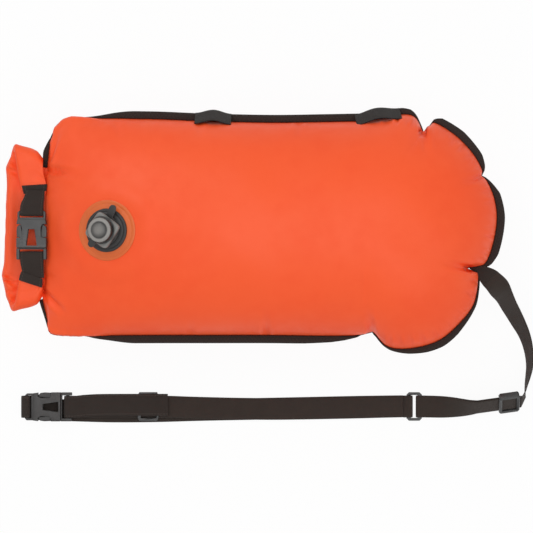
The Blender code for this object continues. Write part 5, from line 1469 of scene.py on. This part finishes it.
@dataclass
class Valve:
    """The two-part screw valve on its round patch."""

    origin: Vector
    slope: float
    steps: int = 96
    patch_radius: float = 0.0328
    patch_wall: float = 0.0008
    base_radius: float = 0.0235
    base_wall: float = 0.0030
    neck_radius: float = 0.0140
    neck_top: float = 0.0085
    sleeve_radius: float = 0.0125
    sleeve_depth: float = 0.006
    bore: float = 0.0103
    skirt_radius: float = 0.0100
    body_bore: float = 0.0060
    web: float = 0.0015
    collar_flat: float = 0.0152
    squareness: int = 7
    collar_turn: float = math.radians(10)
    collar_wall: float = 0.0052
    body_neck: float = 0.0090
    body_neck_height: float = 0.0045
    cap_radius: float = 0.0137
    cap_height: float = 0.0050
    dome_radius: float = 0.0088
    dome_height: float = 0.0028
    strap_wall: float = 0.0012
    seal: float = 0.0016

    @property
    def place(self) -> Matrix:
        """The valve's frame, square to the panel."""
        return Matrix.Translation(self.origin) @ Matrix.Rotation(-math.atan(self.slope), 4, "Y")

    def turned(self, name: str, profile: list[tuple[float, float]], node: str, finish: Finish, body: str, square: bool = False, ribs: tuple[int, float] = (0, 0.0)) -> bpy.types.Object:
        """A turned piece.

        Args:
            name: The piece's name.
            profile: Closed outline of (radius, height) points, both metres.
            node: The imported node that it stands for.
            finish: Its finish.
            body: The body that it rides on.
            square: Whether the outermost points follow the collar's rounded square.
            ribs: Number and depth of grip ribs on the outermost points.

        Returns:
            The piece.
        """
        outline = np.array(profile)
        edge = outline[:, 0].max()
        turn = np.linspace(0, math.tau, self.steps, endpoint=False)
        rings = []
        for t in turn:
            radius = outline[:, 0].copy()
            outer = radius > edge * (0.8 if square else 0.93)
            if square:
                lean = t - self.collar_turn - math.pi / 4
                sides = abs(math.cos(lean)) ** self.squareness + abs(math.sin(lean)) ** self.squareness
                radius[outer] *= sides ** (-1 / self.squareness)
            if ribs[0]:
                radius[outer] -= ribs[1] * (0.5 + 0.5 * math.cos(ribs[0] * t)) ** 2
            rings.append(np.column_stack([radius * math.cos(t), radius * math.sin(t), outline[:, 1]]))
        rings.append(rings[0])
        run = np.append(turn, math.tau) * edge
        flat = np.concatenate([[0], np.cumsum(np.linalg.norm(np.diff(outline, axis=0), axis=1)), [0]])
        made = grid_object(name, np.array(rings), run, flat, capped=False)
        made.matrix_world = self.place
        weld = made.modifiers.new("weld", "WELD")
        weld.merge_threshold = 0.000002
        bevel = made.modifiers.new("round", "BEVEL")
        bevel.width = 0.00025
        bevel.segments = 2
        bevel.limit_method = "ANGLE"
        bevel.angle_limit = math.radians(35)
        made.data.set_sharp_from_angle(angle=math.radians(60))
        finish.dress(made, node)
        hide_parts(node)
        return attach(made, body)

    def build(self, nodes: dict[str, bpy.types.Object]) -> None:
        """Make the patch, base, body and cap."""
        low = GAP
        top = low + self.patch_wall
        hole = self.sleeve_radius + GAP
        r = self.patch_radius
        self.turned("valve_patch_film", [
            (hole, low), (r, low), (r, top - 0.0003), (r - 0.0006, top), (r - 0.0035, top), (r - 0.0041, top - 0.0002),
            (r - 0.0047, top), (hole, top),
        ], "valve_patch", PATCH, ROOT_BODY)
        base_low = top + GAP
        base_high = base_low + self.base_wall
        n, b = self.neck_radius, self.base_radius
        self.turned("valve_base_rubber", [
            (self.bore, -self.sleeve_depth), (self.sleeve_radius, -self.sleeve_depth), (self.sleeve_radius, base_low),
            (b, base_low), (b, base_high - 0.0016), (b - 0.0007, base_high - 0.0009), (b - 0.0030, base_high - 0.0006),
            (b - 0.0034, base_high - 0.0010), (b - 0.0040, base_high - 0.0006), (b - 0.0060, base_high),
            (n + 0.0012, base_high), (n, base_high + 0.0012), (n, self.neck_top), (self.bore, self.neck_top),
        ], "valve_base", VALVE_RUBBER, ROOT_BODY)
        seal_low = self.neck_top + GAP
        seal_high = seal_low + self.seal
        self.turned("valve_seal_ring", [
            (self.bore + GAP, seal_low), (n, seal_low), (n, seal_high), (self.bore + GAP, seal_high),
        ], "valve_seal", VALVE_RUBBER, "valve_seal_ring")
        collar_low = seal_high + GAP
        collar_high = collar_low + self.collar_wall
        neck_high = collar_high + self.body_neck_height
        c = self.collar_flat
        self.turned("valve_screw_body", [
            (self.body_bore, self.web), (self.skirt_radius, self.web), (self.skirt_radius, collar_low),
            (c - 0.0006, collar_low), (c, collar_low + 0.0006), (c, collar_high - 0.0016), (c - 0.0010, collar_high - 0.0004),
            (c - 0.0024, collar_high), (self.body_neck + 0.0006, collar_high), (self.body_neck, collar_high + 0.0006),
            (self.body_neck, neck_high), (self.body_bore, neck_high),
        ], "valve_body", VALVE_COLLAR, "valve_screw", square=True)
        cap_low = collar_high + GAP + self.strap_wall + GAP
        cap_high = cap_low + self.cap_height
        inside = self.body_neck + GAP
        ceiling = neck_high + GAP
        k = self.cap_radius
        d, h = self.dome_radius, self.dome_height
        self.turned("valve_cap_grip", [
            (inside, cap_low), (k, cap_low), (k, cap_high - 0.0009), (k - 0.0009, cap_high), (d + 0.0008, cap_high),
            (d, cap_high + 0.0003), (d * 0.93, cap_high + h * 0.45), (d * 0.75, cap_high + h * 0.72),
            (d * 0.5, cap_high + h * 0.90), (d * 0.25, cap_high + h * 0.98), (0.00001, cap_high + h), (0.00001, ceiling), (inside, ceiling),
        ], "valve_cap", VALVE_CAP, "cap", ribs=(24, 0.00035))
        for name in ("valve_tether", "cap_tether", "one_way_flap"):
            soften(nodes[name], 0.0002)
            VALVE_RUBBER.repaint(nodes[name])
        LOG.info("valve")


# ---- studio -----------------------------------------------------------------


@dataclass
class Studio:
    """White floor, soft lamps and the straight-down camera."""

    camera_place: tuple[float, float, float] = (0.015, -0.039, 2.2)
    lens: float = 129.0
    floor_size: float = 60.0
    floor_z: float = -0.0004
    world_strength: float = 0.52

    def floor(self) -> None:
        """A pale floor that is white to the camera and keeps a soft shadow."""
        half = self.floor_size / 2
        mesh = bpy.data.meshes.new("floor")
        corners = [(-half, -half), (half, -half), (half, half), (-half, half)]
        mesh.from_pydata([(x, y, self.floor_z) for x, y in corners], [], [(0, 1, 2, 3)])
        made = link("floor", mesh)
        material = bpy.data.materials.new("floor_paint")
        material.use_nodes = True
        graph = Graph(material.node_tree)
        shader = material.node_tree.nodes["Principled BSDF"]
        shader.inputs["Base Color"].default_value = (0.9, 0.9, 0.9, 1)
        shader.inputs["Roughness"].default_value = 0.9
        shader.inputs["Specular IOR Level"].default_value = 0.1
        path = graph.add("LightPath").outputs
        seen = graph.math("MAXIMUM", path["Is Camera Ray"], path["Is Glossy Ray"])
        seen = graph.math("MAXIMUM", seen, path["Is Transmission Ray"])
        light = graph.add("Emission", {"Color": (1, 1, 1, 1), "Strength": 1.0}).outputs[0]
        mixed = graph.add("MixShader", {0: graph.math("MULTIPLY", seen, 0.94), 1: shader.outputs[0], 2: light}).outputs[0]
        graph.tree.links.new(mixed, material.node_tree.nodes["Material Output"].inputs["Surface"])
        mesh.materials.append(material)

    def lamp(self, name: str, place: tuple[float, float, float], size: float, power: float, aim: tuple[float, float, float] = (0, 0, 0)) -> None:
        """A soft square lamp aimed at a point."""
        data = bpy.data.lights.new(name, "AREA")
        data.shape = "SQUARE"
        data.size = size
        data.energy = power
        made = bpy.data.objects.new(name, data)
        bpy.context.scene.collection.objects.link(made)
        made.location = place
        made.rotation_euler = (Vector(aim) - Vector(place)).to_track_quat("-Z", "Y").to_euler()

    def build(self) -> None:
        """Set the camera, the lamps, the world and the floor."""
        scene = bpy.context.scene
        camera = bpy.data.objects.new("camera", bpy.data.cameras.new("camera"))
        scene.collection.objects.link(camera)
        camera.location = self.camera_place
        camera.data.lens = self.lens
        camera.data.sensor_width = 36
        camera.data.clip_end = 100
        scene.camera = camera
        self.lamp("key_lamp", (-1.1, 1.4, 1.8), 1.2, 11)
        self.lamp("fill_lamp", (1.3, -1.0, 1.9), 1.8, 9)
        self.lamp("top_lamp", (0.0, 0.0, 3.2), 2.2, 26)
        world = bpy.data.worlds.new("room")
        scene.world = world
        world.use_nodes = True
        graph = Graph(world.node_tree)
        background = world.node_tree.nodes["Background"]
        path = graph.add("LightPath").outputs
        seen = graph.math("MAXIMUM", path["Is Camera Ray"], path["Is Glossy Ray"])
        seen = graph.math("MAXIMUM", seen, path["Is Transmission Ray"])
        strength = graph.math("ADD", self.world_strength, graph.math("MULTIPLY", seen, 1 - self.world_strength))
        graph.tree.links.new(strength, background.inputs["Strength"])
        background.inputs["Color"].default_value = (1, 1, 1, 1)
        scene.view_settings.view_transform = "Standard"
        self.floor()
        LOG.info("studio")


def main() -> None:
    """Build every piece of the buoy in its studio."""
    logging.basicConfig(level=logging.INFO, format="%(message)s")
    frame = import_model()
    nodes = frame["nodes"]
    Studio().build()
    belt = Belt()
    belt.build(nodes)
    Leash().build(nodes, belt)
    bag = Bag()
    bag.build()
    roll = Roll()
    roll.build()
    arms = ("right_arm", "left_arm")
    tab_z = roll.top + GAP + 0.0006
    RollBuckle(
        Vector((-0.2426, -0.0186, 0.10432)), False,
        ("roll_buckle_socket", "roll_buckle_plug") + tuple("roll_buckle_" + a for a in arms), "roll_socket",
        flap_ends=tuple(roll.centre_y + side * roll.flap_end(side) for side in (1, -1)), tab_z=tab_z,
    ).build(nodes)
    arms = ("upper_arm", "lower_arm")
    BeltBuckle(
        Vector((-0.221, -0.2, 0.0082)), True,
        ("belt_buckle_socket", "belt_buckle_plug") + tuple("belt_buckle_" + a for a in arms), "belt_socket",
    ).build(nodes)
    x, z, slope = bag.valve_plane()
    Valve(Vector((x, 0, z)), slope).build(nodes)


if __name__ == "__main__":
    main()
